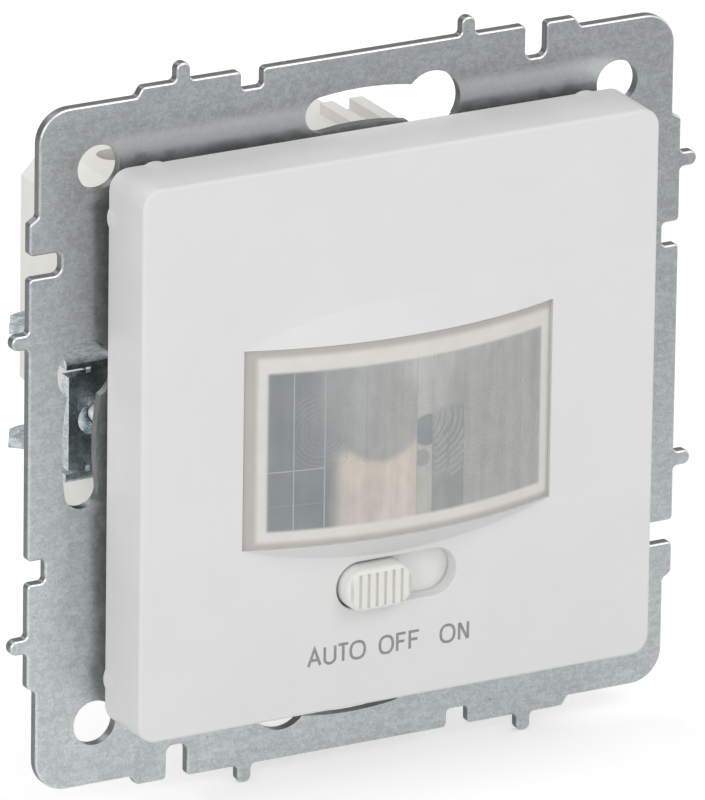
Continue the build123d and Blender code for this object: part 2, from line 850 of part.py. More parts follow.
# Trimmers for the time and the light level, side by side above the lens
with BuildPart() as trimmer_bodies:
    with BuildSketch(Plane.XZ.offset(sensor_board_front_level)):
        with Locations((0, trimmer_place[1])):
            with GridLocations(2 * trimmer_place[0], 0, 2, 1):
                Rectangle(2 * trimmer_body_half, 2 * trimmer_body_half)
    extrude(amount=trimmer_body_front_level - sensor_board_front_level)
    with BuildSketch(Plane.XZ.offset(trimmer_body_front_level)):
        with Locations((0, trimmer_place[1])):
            with GridLocations(2 * trimmer_place[0], 0, 2, 1):
                Circle(dial_shaft_radius + running_clearance)
    extrude(amount=-dial_shaft_length, mode=Mode.SUBTRACT)
trimmer_bodies.part.label = "trimmer_bodies"
export_step(trimmer_bodies.part, "parts/trimmer_bodies.step")


def dial(side):
    """A trimmer's dial with its shaft and screwdriver slot."""
    place = (side * trimmer_place[0], trimmer_place[1])
    with BuildPart() as turned:
        with BuildSketch(Plane.XZ.offset(dial_back_level)):
            with Locations(place):
                Circle(dial_radius)
        extrude(amount=dial_front_level - dial_back_level)
        fillet(turned.edges().group_by(Axis.Y)[0], radius=dial_edge_rounding)
        with BuildSketch(Plane.XZ.offset(dial_front_level)):
            with Locations(place):
                SlotOverall(2 * dial_radius * dial_groove_share, dial_groove_width, rotation=90)
        extrude(amount=-dial_groove_depth, mode=Mode.SUBTRACT)
        with BuildSketch(Plane.XZ.offset(dial_back_level)):
            with Locations(place):
                Circle(dial_shaft_radius)
        extrude(amount=-(dial_shaft_length + running_clearance))
    return turned


time_dial = dial(-1)
time_dial.part.label = "time_dial"
export_step(time_dial.part, "parts/time_dial.step")

light_dial = dial(1)
light_dial.part.label = "light_dial"
export_step(light_dial.part, "parts/light_dial.step")


# Pins that join the two boards, and the strip that holds them
link_pin_back_level = power_board_back_level + link_pin_inset
with BuildPart() as board_link_pins:
    with BuildSketch(Plane.XZ.offset(link_pin_back_level)):
        with Locations((0, link_pin_place)):
            with GridLocations(link_pin_pitch, 0, link_pin_count, 1):
                Rectangle(link_pin_side, link_pin_side)
    extrude(amount=sensor_board_front_level + link_pin_tail - link_pin_back_level)
board_link_pins.part.label = "board_link_pins"
export_step(board_link_pins.part, "parts/board_link_pins.step")

with BuildPart() as board_link_strip:
    with BuildSketch(Plane.XZ.offset(sensor_board_back_level)):
        with Locations((0, link_pin_place)):
            Rectangle(link_pin_count * link_pin_pitch, link_strip_side)
            with GridLocations(link_pin_pitch, 0, link_pin_count, 1):
                Rectangle(link_pin_side, link_pin_side, mode=Mode.SUBTRACT)
    extrude(amount=-link_strip_height)
board_link_strip.part.label = "board_link_strip"
export_step(board_link_strip.part, "parts/board_link_strip.step")


# Rear housing: the box behind the plate, open towards the front housing
with BuildPart() as rear_housing:
    with BuildSketch(Plane.XZ.offset(-box_depth)):
        Polygon(*box_outline(), align=None)
    extrude(amount=box_depth)
    with BuildSketch(Plane.XZ.offset(-box_depth)):
        Polygon(
            (-box_half_width, waist_half_height),
            (-box_half_width, bulge_bottom + bulge_chamfer),
            (bulge_chamfer - box_half_width, bulge_bottom),
            (-waist_half_width, bulge_bottom),
            (-waist_half_width, waist_half_height),
            align=None,
        )
    extrude(amount=box_depth - bulge_front)
    fillet(rear_housing.edges().group_by(Axis.Y)[-1], radius=box_edge_rounding)
    with BuildSketch(Plane.XZ.offset(-pedestal_depth)):
        between(pedestal_left, pedestal_right, box_half_height - box_wall, pedestal_top)
        for place in guide_rib_places:
            between(
                place,
                place + guide_rib_thickness,
                pedestal_top - guide_rib_height,
                pedestal_top + guide_rib_height,
            )
    extrude(amount=pedestal_depth - pedestal_front_depth)
    with BuildSketch(Plane.XZ.offset(box_floor_level)):
        Polygon(*box_outline(), align=None)
        offset(amount=-box_wall, kind=Kind.INTERSECTION)
    extrude(amount=-box_floor_level, mode=Mode.SUBTRACT)
    with BuildSketch(Plane.XZ.offset(box_floor_level)):
        between(
            box_wall - box_half_width,
            -waist_half_width + box_wall,
            bulge_bottom + box_wall,
            waist_half_height + box_wall,
        )
    extrude(amount=box_depth - 2 * box_wall - bulge_front, mode=Mode.SUBTRACT)
    with BuildSketch(Plane.XZ):
        with Locations(tray_centre):
            RectangleRounded(
                2 * (sensor_board_half + clearance),
                2 * (sensor_board_half + clearance),
                board_corner_radius,
            )
    extrude(amount=sensor_board_back_level - clearance, mode=Mode.SUBTRACT)
    with BuildSketch(Plane.XZ.offset(box_floor_level)):
        with Locations((0, screw_boss_place[1])):
            with GridLocations(2 * screw_boss_place[0], 0, 2, 1):
                Circle(screw_boss_radius)
    extrude(amount=sensor_board_back_level - box_floor_level)
    with BuildSketch(Plane.XZ.offset(power_board_back_level)):
        for side in (-1, 1):
            with Locations((side * (waist_half_width - box_wall - board_rest_width / 2), 0)):
                Rectangle(board_rest_width, 2 * board_rest_half_height)
    extrude(amount=-board_rest_depth)
    with BuildSketch(Plane.XZ.offset(-box_depth)):
        with Locations((0, screw_boss_place[1])):
            with GridLocations(2 * screw_boss_place[0], 0, 2, 1):
                Circle(screw_channel_radius)
    extrude(amount=box_depth - screw_head_depth, mode=Mode.SUBTRACT)
    with BuildSketch(Plane.XZ.offset(-box_depth)):
        with Locations((0, screw_boss_place[1])):
            with GridLocations(2 * screw_boss_place[0], 0, 2, 1):
                Circle(screw_shank_radius + running_clearance)
        with Locations((terminal_x, terminal_z)):
            with GridLocations(terminal_pitch, 0, terminal_count, 1):
                Circle(terminal_head_radius + clearance / 2)
    extrude(amount=box_wall + overrun, mode=Mode.SUBTRACT)
    with BuildSketch(Plane.XZ.offset(-screw_head_depth)):
        with Locations((0, screw_boss_place[1])):
            with GridLocations(2 * screw_boss_place[0], 0, 2, 1):
                Circle(screw_shank_radius + running_clearance)
    extrude(amount=screw_head_depth, mode=Mode.SUBTRACT)
    with BuildSketch(Plane.XY.offset(box_half_height - box_wall - running_clearance)):
        with Locations((terminal_x, wire_hole_y)):
            with GridLocations(terminal_pitch, 0, terminal_count, 1):
                Circle(wire_hole_radius)
    extrude(amount=box_wall + overrun, mode=Mode.SUBTRACT)
    with BuildSketch(Plane.XY.offset(-claw_pin_half_length)):
        with Locations((0, claw_pivot[1])):
            with GridLocations(2 * claw_pivot[0], 0, 2, 1):
                Circle(claw_pin_radius + running_clearance)
    extrude(amount=2 * claw_pin_half_length, mode=Mode.SUBTRACT)
rear_housing.part.label = "rear_housing"
export_step(rear_housing.part, "parts/rear_housing.step")


# Power board, cut to the box's shape and round the screw bosses
with BuildPart() as power_board:
    with BuildSketch(Plane.XZ.offset(power_board_level)):
        Polygon(*box_outline(), align=None)
        offset(amount=-(box_wall + clearance), kind=Kind.INTERSECTION)
        Rectangle(2 * power_board_half_width, 2 * power_board_half_height, mode=Mode.INTERSECT)
        with Locations((0, screw_boss_place[1])):
            with GridLocations(2 * screw_boss_place[0], 0, 2, 1):
                Circle(screw_boss_radius + clearance, mode=Mode.SUBTRACT)
        with Locations((0, link_pin_place)):
            with GridLocations(link_pin_pitch, 0, link_pin_count, 1):
                Circle(link_pin_hole_radius, mode=Mode.SUBTRACT)
    extrude(amount=-power_board_thickness)
power_board.part.label = "power_board"
export_step(power_board.part, "parts/power_board.step")


def board_block(corner, size, rounding):
    """A block-shaped component on the back of the power board."""
    with BuildPart() as block:
        with BuildSketch(Plane.XZ.offset(power_board_back_level)):
            between(corner[0], corner[0] + size[0], corner[1], corner[1] + size[1])
        extrude(amount=-size[2])
        fillet(block.edges().group_by(Axis.Y)[-1], radius=rounding)
    return block


relay = board_block(relay_corner, relay_size, relay_rounding)
relay.part.label = "relay"
export_step(relay.part, "parts/relay.step")

film_capacitor = board_block(film_capacitor_corner, film_capacitor_size, relay_rounding)
film_capacitor.part.label = "film_capacitor"
export_step(film_capacitor.part, "parts/film_capacitor.step")

mains_fuse = board_block(fuse_corner, fuse_size, relay_rounding)
mains_fuse.part.label = "mains_fuse"
export_step(mains_fuse.part, "parts/mains_fuse.step")

with BuildPart() as can_capacitors:
    with BuildSketch(Plane.XZ.offset(power_board_back_level)):
        for place in can_capacitor_places:
            with Locations(place):
                Circle(can_capacitor_radius)
    extrude(amount=-can_capacitor_height)
    fillet(can_capacitors.edges().group_by(Axis.Y)[-1], radius=can_capacitor_groove)
can_capacitors.part.label = "can_capacitors"
export_step(can_capacitors.part, "parts/can_capacitors.step")

varistor_y = -power_board_back_level + varistor_standoff + varistor_radius
with BuildPart() as varistor:
    with BuildSketch(Plane.YZ.offset(varistor_place[0] - varistor_thickness / 2)):
        with Locations((varistor_y, varistor_place[1])):
            Circle(varistor_radius)
    extrude(amount=varistor_thickness)
    with BuildSketch(Plane.XZ.offset(power_board_back_level)):
        with Locations(varistor_place):
            with GridLocations(0, varistor_radius, 1, 2):
                Circle(varistor_lead_radius)
    extrude(amount=-(varistor_standoff + varistor_radius))
varistor.part.label = "varistor"
export_step(varistor.part, "parts/varistor.step")


# Terminals: a cage for each wire and the screw that clamps it
cage_back_level = -(cage_front_depth + cage_height)
with BuildPart() as terminal_cages:
    with BuildSketch(Plane.XZ.offset(cage_back_level)):
        with Locations((terminal_x, terminal_z)):
            with GridLocations(terminal_pitch, 0, terminal_count, 1):
                Rectangle(cage_width, cage_length)
    extrude(amount=cage_height)
    with BuildSketch(Plane.XY.offset(terminal_z - cage_length / 2)):
        with Locations((terminal_x, wire_hole_y)):
            with GridLocations(terminal_pitch, 0, terminal_count, 1):
                Rectangle(cage_width - 2 * cage_wall, 2 * (wire_hole_y - cage_front_depth - cage_wall))
    extrude(amount=cage_length, mode=Mode.SUBTRACT)
    with BuildSketch(Plane.XZ.offset(cage_back_level)):
        with Locations((terminal_x, terminal_z)):
            with GridLocations(terminal_pitch, 0, terminal_count, 1):
                Circle(terminal_shank_radius + running_clearance)
    extrude(amount=cage_height / 2, mode=Mode.SUBTRACT)
terminal_cages.part.label = "terminal_cages"
export_step(terminal_cages.part, "parts/terminal_cages.step")

terminal_head_level = terminal_head_inset - box_depth
terminal_tip_y = 2 * wire_hole_y - cage_front_depth - cage_wall
with BuildPart() as terminal_screws:
    with BuildSketch(Plane.XZ.offset(terminal_head_level)):
        with Locations((terminal_x, terminal_z)):
            with GridLocations(terminal_pitch, 0, terminal_count, 1):
                Circle(terminal_head_radius)
    extrude(amount=terminal_head_height)
    with BuildSketch(Plane.XZ.offset(terminal_head_level)):
        with Locations((terminal_x, terminal_z)):
            with GridLocations(terminal_pitch, 0, terminal_count, 1):
                Rectangle(2 * terminal_head_radius, screw_drive_width)
    extrude(amount=screw_drive_depth, mode=Mode.SUBTRACT)
    with BuildSketch(Plane.XZ.offset(terminal_head_level + terminal_head_height)):
        with Locations((terminal_x, terminal_z)):
            with GridLocations(terminal_pitch, 0, terminal_count, 1):
                Circle(terminal_shank_radius)
    extrude(amount=-terminal_head_level - terminal_head_height - terminal_tip_y)
terminal_screws.part.label = "terminal_screws"
export_step(terminal_screws.part, "parts/terminal_screws.step")


# Screws that draw the rear housing to the front housing
with BuildPart() as housing_screws:
    with BuildSketch(Plane.XZ.offset(-screw_head_depth)):
        with Locations((0, screw_boss_place[1])):
            with GridLocations(2 * screw_boss_place[0], 0, 2, 1):
                Circle(screw_head_radius)
    extrude(amount=-screw_head_height)
    with BuildSketch(Plane.XZ.offset(-screw_head_depth - screw_head_height)):
        with Locations((0, screw_boss_place[1])):
            with GridLocations(2 * screw_boss_place[0], 0, 2, 1):
                Rectangle(2 * screw_head_radius * dial_groove_share, screw_drive_width)
                Rectangle(screw_drive_width, 2 * screw_head_radius * dial_groove_share)
    extrude(amount=screw_drive_depth, mode=Mode.SUBTRACT)
    with BuildSketch(Plane.XZ.offset(-screw_head_depth)):
        with Locations((0, screw_boss_place[1])):
            with GridLocations(2 * screw_boss_place[0], 0, 2, 1):
                Circle(screw_shank_radius)
    extrude(amount=screw_tip_level + screw_head_depth)
housing_screws.part.label = "housing_screws"
export_step(housing_screws.part, "parts/housing_screws.step")


# Spreading claws: stamped channels that turn on pins beside the box
with BuildPart() as claw_pins:
    with BuildSketch(Plane.XY.offset(-claw_pin_half_length)):
        with Locations((0, claw_pivot[1])):
            with GridLocations(2 * claw_pivot[0], 0, 2, 1):
                Circle(claw_pin_radius)
    extrude(amount=2 * claw_pin_half_length)
claw_pins.part.label = "claw_pins"
export_step(claw_pins.part, "parts/claw_pins.step")

turn = radians(claw_opening_angle)
screw_lever = claw_screw_place - claw_pivot[0]
web_front_offset = claw_pivot[1] - claw_web_depth
web_slot_reach = (
    (screw_lever * sin(turn) + web_front_offset) * tan(turn)
    + screw_lever * cos(turn)
    + claw_screw_radius / cos(turn)
    + claw_slot_clearance
)
web_slot_outer = claw_pivot[0] + web_slot_reach
web_slot_inner = claw_screw_place - claw_screw_radius - claw_slot_clearance
with BuildPart() as left_claw:
    for level in (-claw_half_height, claw_inner_half):
        with BuildSketch(Plane.XY.offset(level)):
            Polygon(*claw_arm_outline(), align=None)
            with Locations((-claw_pivot[0], claw_pivot[1])):
                Circle(claw_ear_radius)
        extrude(amount=claw_sheet)
    with BuildSketch(Plane.XZ.offset(-claw_web_depth)):
        between(-claw_outer, -claw_web_inner, -claw_half_height, claw_half_height)
    extrude(amount=-claw_sheet)
    with BuildSketch(Plane.XZ.offset(-claw_web_depth)):
        between(
            -claw_outer, claw_sheet - claw_outer, -claw_lip_half_height, claw_lip_half_height
        )
    extrude(amount=claw_lip_reach)
    bend_edges = (
        left_claw.edges()
        .filter_by(Axis.X)
        .filter_by_position(Axis.Y, claw_web_depth, claw_web_depth)
        .filter_by(lambda edge: abs(edge.center().Z) > claw_inner_half)
    )
    fillet(bend_edges, radius=claw_bend_radius)
    with BuildSketch(Plane.XZ.offset(-claw_web_depth)):
        with Locations((-(web_slot_outer + web_slot_inner) / 2, 0)):
            SlotOverall(
                web_slot_outer - web_slot_inner, 2 * (claw_screw_radius + claw_slot_clearance)
            )
        with Locations((claw_relief_length / 2 - claw_outer, 0)):
            with GridLocations(0, 2 * claw_lip_half_height + claw_relief_width, 1, 2):
                Rectangle(claw_relief_length, claw_relief_width)
    extrude(amount=-claw_sheet, mode=Mode.SUBTRACT)
    with BuildSketch(Plane.XY.offset(-claw_half_height)):
        with Locations((-claw_pivot[0], claw_pivot[1])):
            Circle(claw_pin_radius + running_clearance)
    extrude(amount=2 * claw_half_height, mode=Mode.SUBTRACT)
left_claw.part.label = "left_claw"
export_step(left_claw.part, "parts/left_claw.step")

with BuildPart() as right_claw:
    mirror(left_claw.part, about=Plane.YZ)
right_claw.part.label = "right_claw"
export_step(right_claw.part, "parts/right_claw.step")


def claw_screw(side):
    """A claw screw: a slotted head in front of the plate and a plain shank."""
    with BuildPart() as screw:
        with BuildSketch(Plane.XZ.offset(plate_thickness)):
            with Locations((side * claw_screw_place, 0)):
                Circle(claw_screw_head_radius)
        extrude(amount=claw_screw_head_height)
        fillet(screw.edges().group_by(Axis.Y)[0], radius=claw_screw_head_height / 4)
        with BuildSketch(Plane.XZ.offset(plate_thickness + claw_screw_head_height)):
            with Locations((side * claw_screw_place, 0)):
                Rectangle(2 * claw_screw_head_radius, screw_drive_width)
        extrude(amount=-screw_drive_depth, mode=Mode.SUBTRACT)
        with BuildSketch(Plane.XZ.offset(plate_thickness)):
            with Locations((side * claw_screw_place, 0)):
                Circle(claw_screw_radius)
        extrude(amount=-claw_screw_length)
    return screw


left_claw_screw = claw_screw(-1)
left_claw_screw.part.label = "left_claw_screw"
export_step(left_claw_screw.part, "parts/left_claw_screw.step")

right_claw_screw = claw_screw(1)
right_claw_screw.part.label = "right_claw_screw"
export_step(right_claw_screw.part, "parts/right_claw_screw.step")


def claw_nut(side):
    """A barrel nut that lies behind the claw's web and rides on the claw screw."""
    nut_y = claw_web_depth + claw_sheet + claw_nut_gap + claw_nut_radius
    with BuildPart() as nut:
        with BuildSketch(Plane.XY.offset(-claw_nut_half_length)):
            with Locations((side * claw_screw_place, nut_y)):
                Circle(claw_nut_radius)
        extrude(amount=2 * claw_nut_half_length)
        with BuildSketch(Plane.XZ.offset(-nut_y - claw_nut_radius)):
            with Locations((side * claw_screw_place, 0)):
                Circle(claw_screw_radius + running_clearance)
        extrude(amount=2 * claw_nut_radius, mode=Mode.SUBTRACT)
    return nut


left_claw_nut = claw_nut(-1)
left_claw_nut.part.label = "left_claw_nut"
export_step(left_claw_nut.part, "parts/left_claw_nut.step")

right_claw_nut = claw_nut(1)
right_claw_nut.part.label = "right_claw_nut"
export_step(right_claw_nut.part, "parts/right_claw_nut.step")
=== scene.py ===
import json
import math

import bmesh
import bpy
from mathutils import Matrix, Vector


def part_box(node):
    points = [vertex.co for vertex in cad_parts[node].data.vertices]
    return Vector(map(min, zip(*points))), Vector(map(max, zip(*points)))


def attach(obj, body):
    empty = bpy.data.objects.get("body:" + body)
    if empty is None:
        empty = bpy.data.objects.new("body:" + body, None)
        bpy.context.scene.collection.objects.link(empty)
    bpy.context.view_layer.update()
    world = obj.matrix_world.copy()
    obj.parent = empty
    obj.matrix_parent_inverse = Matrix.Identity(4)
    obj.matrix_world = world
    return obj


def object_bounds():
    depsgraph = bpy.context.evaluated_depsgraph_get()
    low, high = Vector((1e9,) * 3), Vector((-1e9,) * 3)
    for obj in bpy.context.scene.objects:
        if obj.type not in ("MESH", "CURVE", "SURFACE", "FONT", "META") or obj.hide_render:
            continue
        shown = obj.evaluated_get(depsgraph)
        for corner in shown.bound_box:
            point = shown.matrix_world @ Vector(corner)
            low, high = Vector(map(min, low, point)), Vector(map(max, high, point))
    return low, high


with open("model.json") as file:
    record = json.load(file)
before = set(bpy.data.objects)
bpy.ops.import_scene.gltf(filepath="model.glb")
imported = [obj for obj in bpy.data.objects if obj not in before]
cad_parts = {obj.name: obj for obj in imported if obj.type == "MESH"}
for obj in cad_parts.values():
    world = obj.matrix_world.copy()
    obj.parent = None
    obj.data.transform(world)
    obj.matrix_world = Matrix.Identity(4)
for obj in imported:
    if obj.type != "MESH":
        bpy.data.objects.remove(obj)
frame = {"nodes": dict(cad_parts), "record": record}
cad_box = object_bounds()
nodes = frame["nodes"]
MM = 0.001


# Materials: every texture is laid out in object space, with its sizes in millimetres.
# A noise keeps to the middle of its range, so this part of it is spread over an effect.
NOISE_LOW, NOISE_HIGH = 0.3, 0.7


class Finish:
    """A node material with its own noise, colour and bump helpers."""

    def __init__(self, name, color, roughness, metallic=0.0, **sockets):
        self.material = bpy.data.materials.new(name)
        self.material.use_nodes = True
        self.tree = self.material.node_tree
        self.tree.nodes.clear()
        self.shader = self.add("ShaderNodeBsdfPrincipled")
        out = self.add("ShaderNodeOutputMaterial")
        self.link(self.shader.outputs["BSDF"], out.inputs["Surface"])
        self.place = self.add("ShaderNodeTexCoord").outputs["Object"]
        self.color = (*color, 1.0)
        self.shader.inputs["Base Color"].default_value = self.color
        self.shader.inputs["Roughness"].default_value = roughness
        self.shader.inputs["Metallic"].default_value = metallic
        for key, value in sockets.items():
            self.shader.inputs[key.replace("_", " ")].default_value = value

    def add(self, kind, **settings):
        """A new node with these settings."""
        node = self.tree.nodes.new(kind)
        for key, value in settings.items():
            setattr(node, key, value)
        return node

    def link(self, source, target):
        self.tree.links.new(source, target)

    def feed(self, target, value):
        """A socket is linked to the target, anything else is set on it."""
        if isinstance(value, bpy.types.NodeSocket):
            self.link(value, target)
        else:
            target.default_value = value

    def stretched(self, x, y, z):
        """The place scaled along each axis, which draws a texture out where it is under 1."""
        node = self.add("ShaderNodeMapping")
        self.link(self.place, node.inputs["Vector"])
        node.inputs["Scale"].default_value = (x, y, z)
        return node.outputs["Vector"]

    def noise(self, size, detail=3.0, roughness=0.55, place=None):
        """Noise whose blotches are about size mm across."""
        node = self.add("ShaderNodeTexNoise")
        self.link(place or self.place, node.inputs["Vector"])
        node.inputs["Scale"].default_value = 1.0 / (size * MM)
        node.inputs["Detail"].default_value = detail
        node.inputs["Roughness"].default_value = roughness
        return node.outputs["Fac"]

    def cells(self, size, place):
        """Random value per cell, for cells about size mm across."""
        node = self.add("ShaderNodeTexVoronoi", feature="F1")
        self.link(place, node.inputs["Vector"])
        node.inputs["Scale"].default_value = 1.0 / (size * MM)
        split = self.add("ShaderNodeSeparateColor")
        self.link(node.outputs["Color"], split.inputs[0])
        return split.outputs[0]

    def axes(self):
        """The three coordinates in millimetres."""
        split = self.add("ShaderNodeSeparateXYZ")
        self.link(self.place, split.inputs[0])
        return [self.both(output, 1 / MM) for output in split.outputs]

    def band(self, source, start, full, last, end):
        """1 from full to last, with soft ramps from start and to end."""
        rise = self.spread(source, start, full)
        fall = self.spread(source, last, end, 1.0, 0.0)
        return self.both(rise, fall)

    def distance(self, x, z, centre):
        """How far a point (x, z) is from a centre, in millimetres."""
        dx = self.math("SUBTRACT", x, centre[0])
        dz = self.math("SUBTRACT", z, centre[1])
        return self.math("SQRT", self.math("ADD", self.both(dx, dx), self.both(dz, dz)))

    def disc(self, x, z, centre, radii):
        """1 inside the first radius round a centre, 0 outside the second."""
        return self.spread(self.distance(x, z, centre), *radii, 1.0, 0.0)

    def spread(self, source, low, high, to_low=0.0, to_high=1.0):
        """A smooth ramp from to_low at low to to_high at high."""
        node = self.add("ShaderNodeMapRange", interpolation_type="SMOOTHSTEP")
        self.feed(node.inputs["Value"], source)
        for name, value in (
            ("From Min", low), ("From Max", high), ("To Min", to_low), ("To Max", to_high)
        ):
            node.inputs[name].default_value = value
        return node.outputs["Result"]

    def math(self, operation, a, b=0.0):
        node = self.add("ShaderNodeMath", operation=operation)
        self.feed(node.inputs[0], a)
        self.feed(node.inputs[1], b)
        return node.outputs[0]

    def both(self, a, b):
        return self.math("MULTIPLY", a, b)

    def mix(self, share, a, b, blend="MIX"):
        node = self.add("ShaderNodeMix", data_type="RGBA", blend_type=blend)
        self.feed(node.inputs[0], share)
        self.feed(node.inputs[6], a)
        self.feed(node.inputs[7], b)
        return node.outputs[2]

    def over(self, base, mask, share, color):
        """A colour laid over the base, with this share where the mask is 1."""
        return self.mix(self.both(mask, share), base, color)

    def shaded(self, base, shade):
        """The base with its three channels multiplied by a shade."""
        gray = self.add("ShaderNodeCombineColor")
        for channel in range(3):
            self.link(shade, gray.inputs[channel])
        return self.mix(1.0, base, gray.outputs[0], "MULTIPLY")

    def tint(self, noise, amount, base=None):
        """The base colour scaled from 1 - amount to 1 + amount by a noise."""
        shade = self.spread(noise, NOISE_LOW, NOISE_HIGH, 1 - amount, 1 + amount)
        return self.shaded(self.color if base is None else base, shade)

    def paint(self, socket):
        self.link(socket, self.shader.inputs["Base Color"])

    def vary(self, socket, noise, low, high):
        """One of the shader's inputs set from low to high by a noise."""
        self.link(
            self.spread(noise, NOISE_LOW, NOISE_HIGH, low, high), self.shader.inputs[socket]
        )

    def relief(self, height, depth, strength):
        """Bump of depth mm."""
        node = self.add("ShaderNodeBump")
        node.inputs["Strength"].default_value = strength
        node.inputs["Distance"].default_value = depth * MM
        self.link(height, node.inputs["Height"])
        self.link(node.outputs["Normal"], self.shader.inputs["Normal"])


def moulded(name, color, roughness, grain=0.25, depth=0.004, mottle=0.02, **sockets):
    """Moulded plastic: faint flow clouds and the fine grain of the mould.

    Grain and depth are the size and height of the grain in mm, mottle is how far the
    clouds change the colour.
    """
    finish = Finish(name, color, roughness, **sockets)
    clouds = finish.noise(6.0, 2.0)
    finish.paint(finish.tint(clouds, mottle))
    finish.vary("Roughness", finish.noise(1.6), roughness - 0.05, roughness + 0.06)
    finish.relief(finish.noise(grain, 4.0, 0.6), depth, 0.6)
    return finish.material


# What is left of a plated colour in its pits
PIT_SHARE = 0.45


def plated(name, color, roughness, cloud, grain, depth, mottle=0.12):
    """Plated steel: cloudy zinc, fine grain and a few dark pits.

    Cloud, grain and depth are the sizes of the clouds and the grain and the height of the
    relief in mm, mottle is how far they change the colour.
    """
    finish = Finish(name, color, roughness, 1.0)
    base = finish.tint(finish.noise(cloud, 4.0, 0.6), mottle)
    fine = finish.noise(grain, 2.0, 0.7)
    base = finish.tint(fine, mottle * 0.8, base)
    pits = finish.spread(finish.noise(0.55, 1.0), 0.70, 0.78)
    dark = (*(channel * PIT_SHARE for channel in color), 1.0)
    finish.paint(finish.mix(pits, base, dark))
    finish.vary("Roughness", finish.noise(cloud * 1.5), roughness - 0.07, roughness + 0.10)
    finish.relief(finish.math("ADD", fine, finish.noise(grain * 4, 2.0)), depth, 0.7)
    return finish.material


# The plate's zinc: colours of its marks and of painted light, then ramps and bands in mm along
# an axis
ZINC = (0.402, 0.426, 0.430)
REFLECTION_ZINC = (0.66, 0.69, 0.69, 1.0)
SPECK_GREY = (0.14, 0.15, 0.155, 1.0)
SCUFF_GREY = (0.62, 0.65, 0.65, 1.0)
EDGE_REFLECTION_DARK = (0.085, 0.090, 0.092, 1.0)
PAINTED_EDGE_HIGHLIGHT = (0.86, 0.89, 0.89, 1.0)
PAINTED_SHADE_UP = (-34.0, 34.0, 1.18, 0.79)
PAINTED_SHADE_ACROSS = (-36.0, 36.0, 1.06, 0.91)
REFLECTION_UP = (27.4, 28.9, 30.1, 31.5)
REFLECTION_ACROSS = (-29.5, -25.5, 25.5, 29.5)
FRONT_ONLY = (-0.95, -0.55, 1.0, 0.0)
WARP = 0.9

# How square a face looks along Y: cut edges near 0 get a painted dark reflection, rolled-over
# ones between a painted highlight
CUT_EDGE = (0.02, 0.55, 0.84, 0.0)
ROLLED_EDGE = (0.40, 0.60, 0.93, 0.99)
LOOKS_UP = (0.15, 0.45, 0.12, 1.0)


def galvanised():
    """Galvanised sheet: fine spangles, rolling marks, a few specks, painted shade, a painted
    reflection above the cover, painted dark edges and painted edge highlights.
    """
    finish = Finish("galvanised_plate", ZINC, 0.34, 0.92)
    wobble = finish.add("ShaderNodeTexNoise")
    finish.link(finish.place, wobble.inputs["Vector"])
    wobble.inputs["Scale"].default_value = 1.0 / (WARP * MM)
    shift = finish.add("ShaderNodeVectorMath", operation="SCALE")
    finish.link(wobble.outputs["Color"], shift.inputs[0])
    shift.inputs["Scale"].default_value = WARP * MM
    warp = finish.add("ShaderNodeVectorMath", operation="ADD")
    finish.link(finish.place, warp.inputs[0])
    finish.link(shift.outputs[0], warp.inputs[1])
    bent = warp.outputs[0]

    spangles = finish.cells(1.1, bent)
    rolling = finish.noise(0.45, 3.0, 0.6, finish.stretched(0.16, 1.0, 1.0))
    base = finish.tint(spangles, 0.030)
    base = finish.tint(finish.cells(0.40, bent), 0.060, base)
    base = finish.tint(finish.noise(0.20, 3.0, 0.75), 0.13, base)
    base = finish.tint(finish.noise(3.2, 4.0, 0.6), 0.030, base)
    base = finish.tint(rolling, 0.045, base)

    x, y, z = finish.axes()
    # Painted shade: the zinc is darker towards the top and towards the right
    painted_shade = finish.both(finish.spread(z, *PAINTED_SHADE_UP), finish.spread(x, *PAINTED_SHADE_ACROSS))
    base = finish.shaded(base, painted_shade)
    # Painted reflection: a lighter band on the front face just above the cover
    painted_reflection = finish.both(finish.band(z, *REFLECTION_UP), finish.band(x, *REFLECTION_ACROSS))
    painted_reflection = finish.both(painted_reflection, finish.spread(y, *FRONT_ONLY))
    base = finish.over(base, painted_reflection, 0.50, REFLECTION_ZINC)
    specks = finish.spread(finish.noise(0.50, 1.0, 0.4), 0.752, 0.800)
    base = finish.over(base, specks, 0.6, SPECK_GREY)
    scuffs = finish.spread(finish.noise(0.45, 5.0, 0.7), 0.70, 0.80)
    base = finish.over(base, scuffs, 0.5, SCUFF_GREY)

    facing = finish.add("ShaderNodeSeparateXYZ")
    geometry = finish.add("ShaderNodeNewGeometry")
    finish.link(geometry.outputs["True Normal"], facing.inputs[0])
    square = finish.math("ABSOLUTE", facing.outputs[1])
    # Painted dark reflection: faces square to the front, the cut edges, are darkened
    base = finish.mix(finish.spread(square, *CUT_EDGE), base, EDGE_REFLECTION_DARK)
    # Painted highlight: rolled-over edges that face upward are lightened
    upwards = finish.spread(facing.outputs[2], *LOOKS_UP)
    edge_highlight = finish.both(finish.band(square, *ROLLED_EDGE), upwards)
    finish.paint(finish.mix(edge_highlight, base, PAINTED_EDGE_HIGHLIGHT))
    finish.vary("Roughness", spangles, 0.30, 0.42)
    grain = finish.math("ADD", finish.noise(0.16, 3.0, 0.7), finish.noise(0.9, 2.0))
    finish.relief(grain, 0.008, 0.8)
    return finish.material


SOLDER_MASK = (0.035, 0.13, 0.07)
TRACK_GREEN = (0.06, 0.21, 0.105, 1.0)
TRACK_PITCH = 6.0


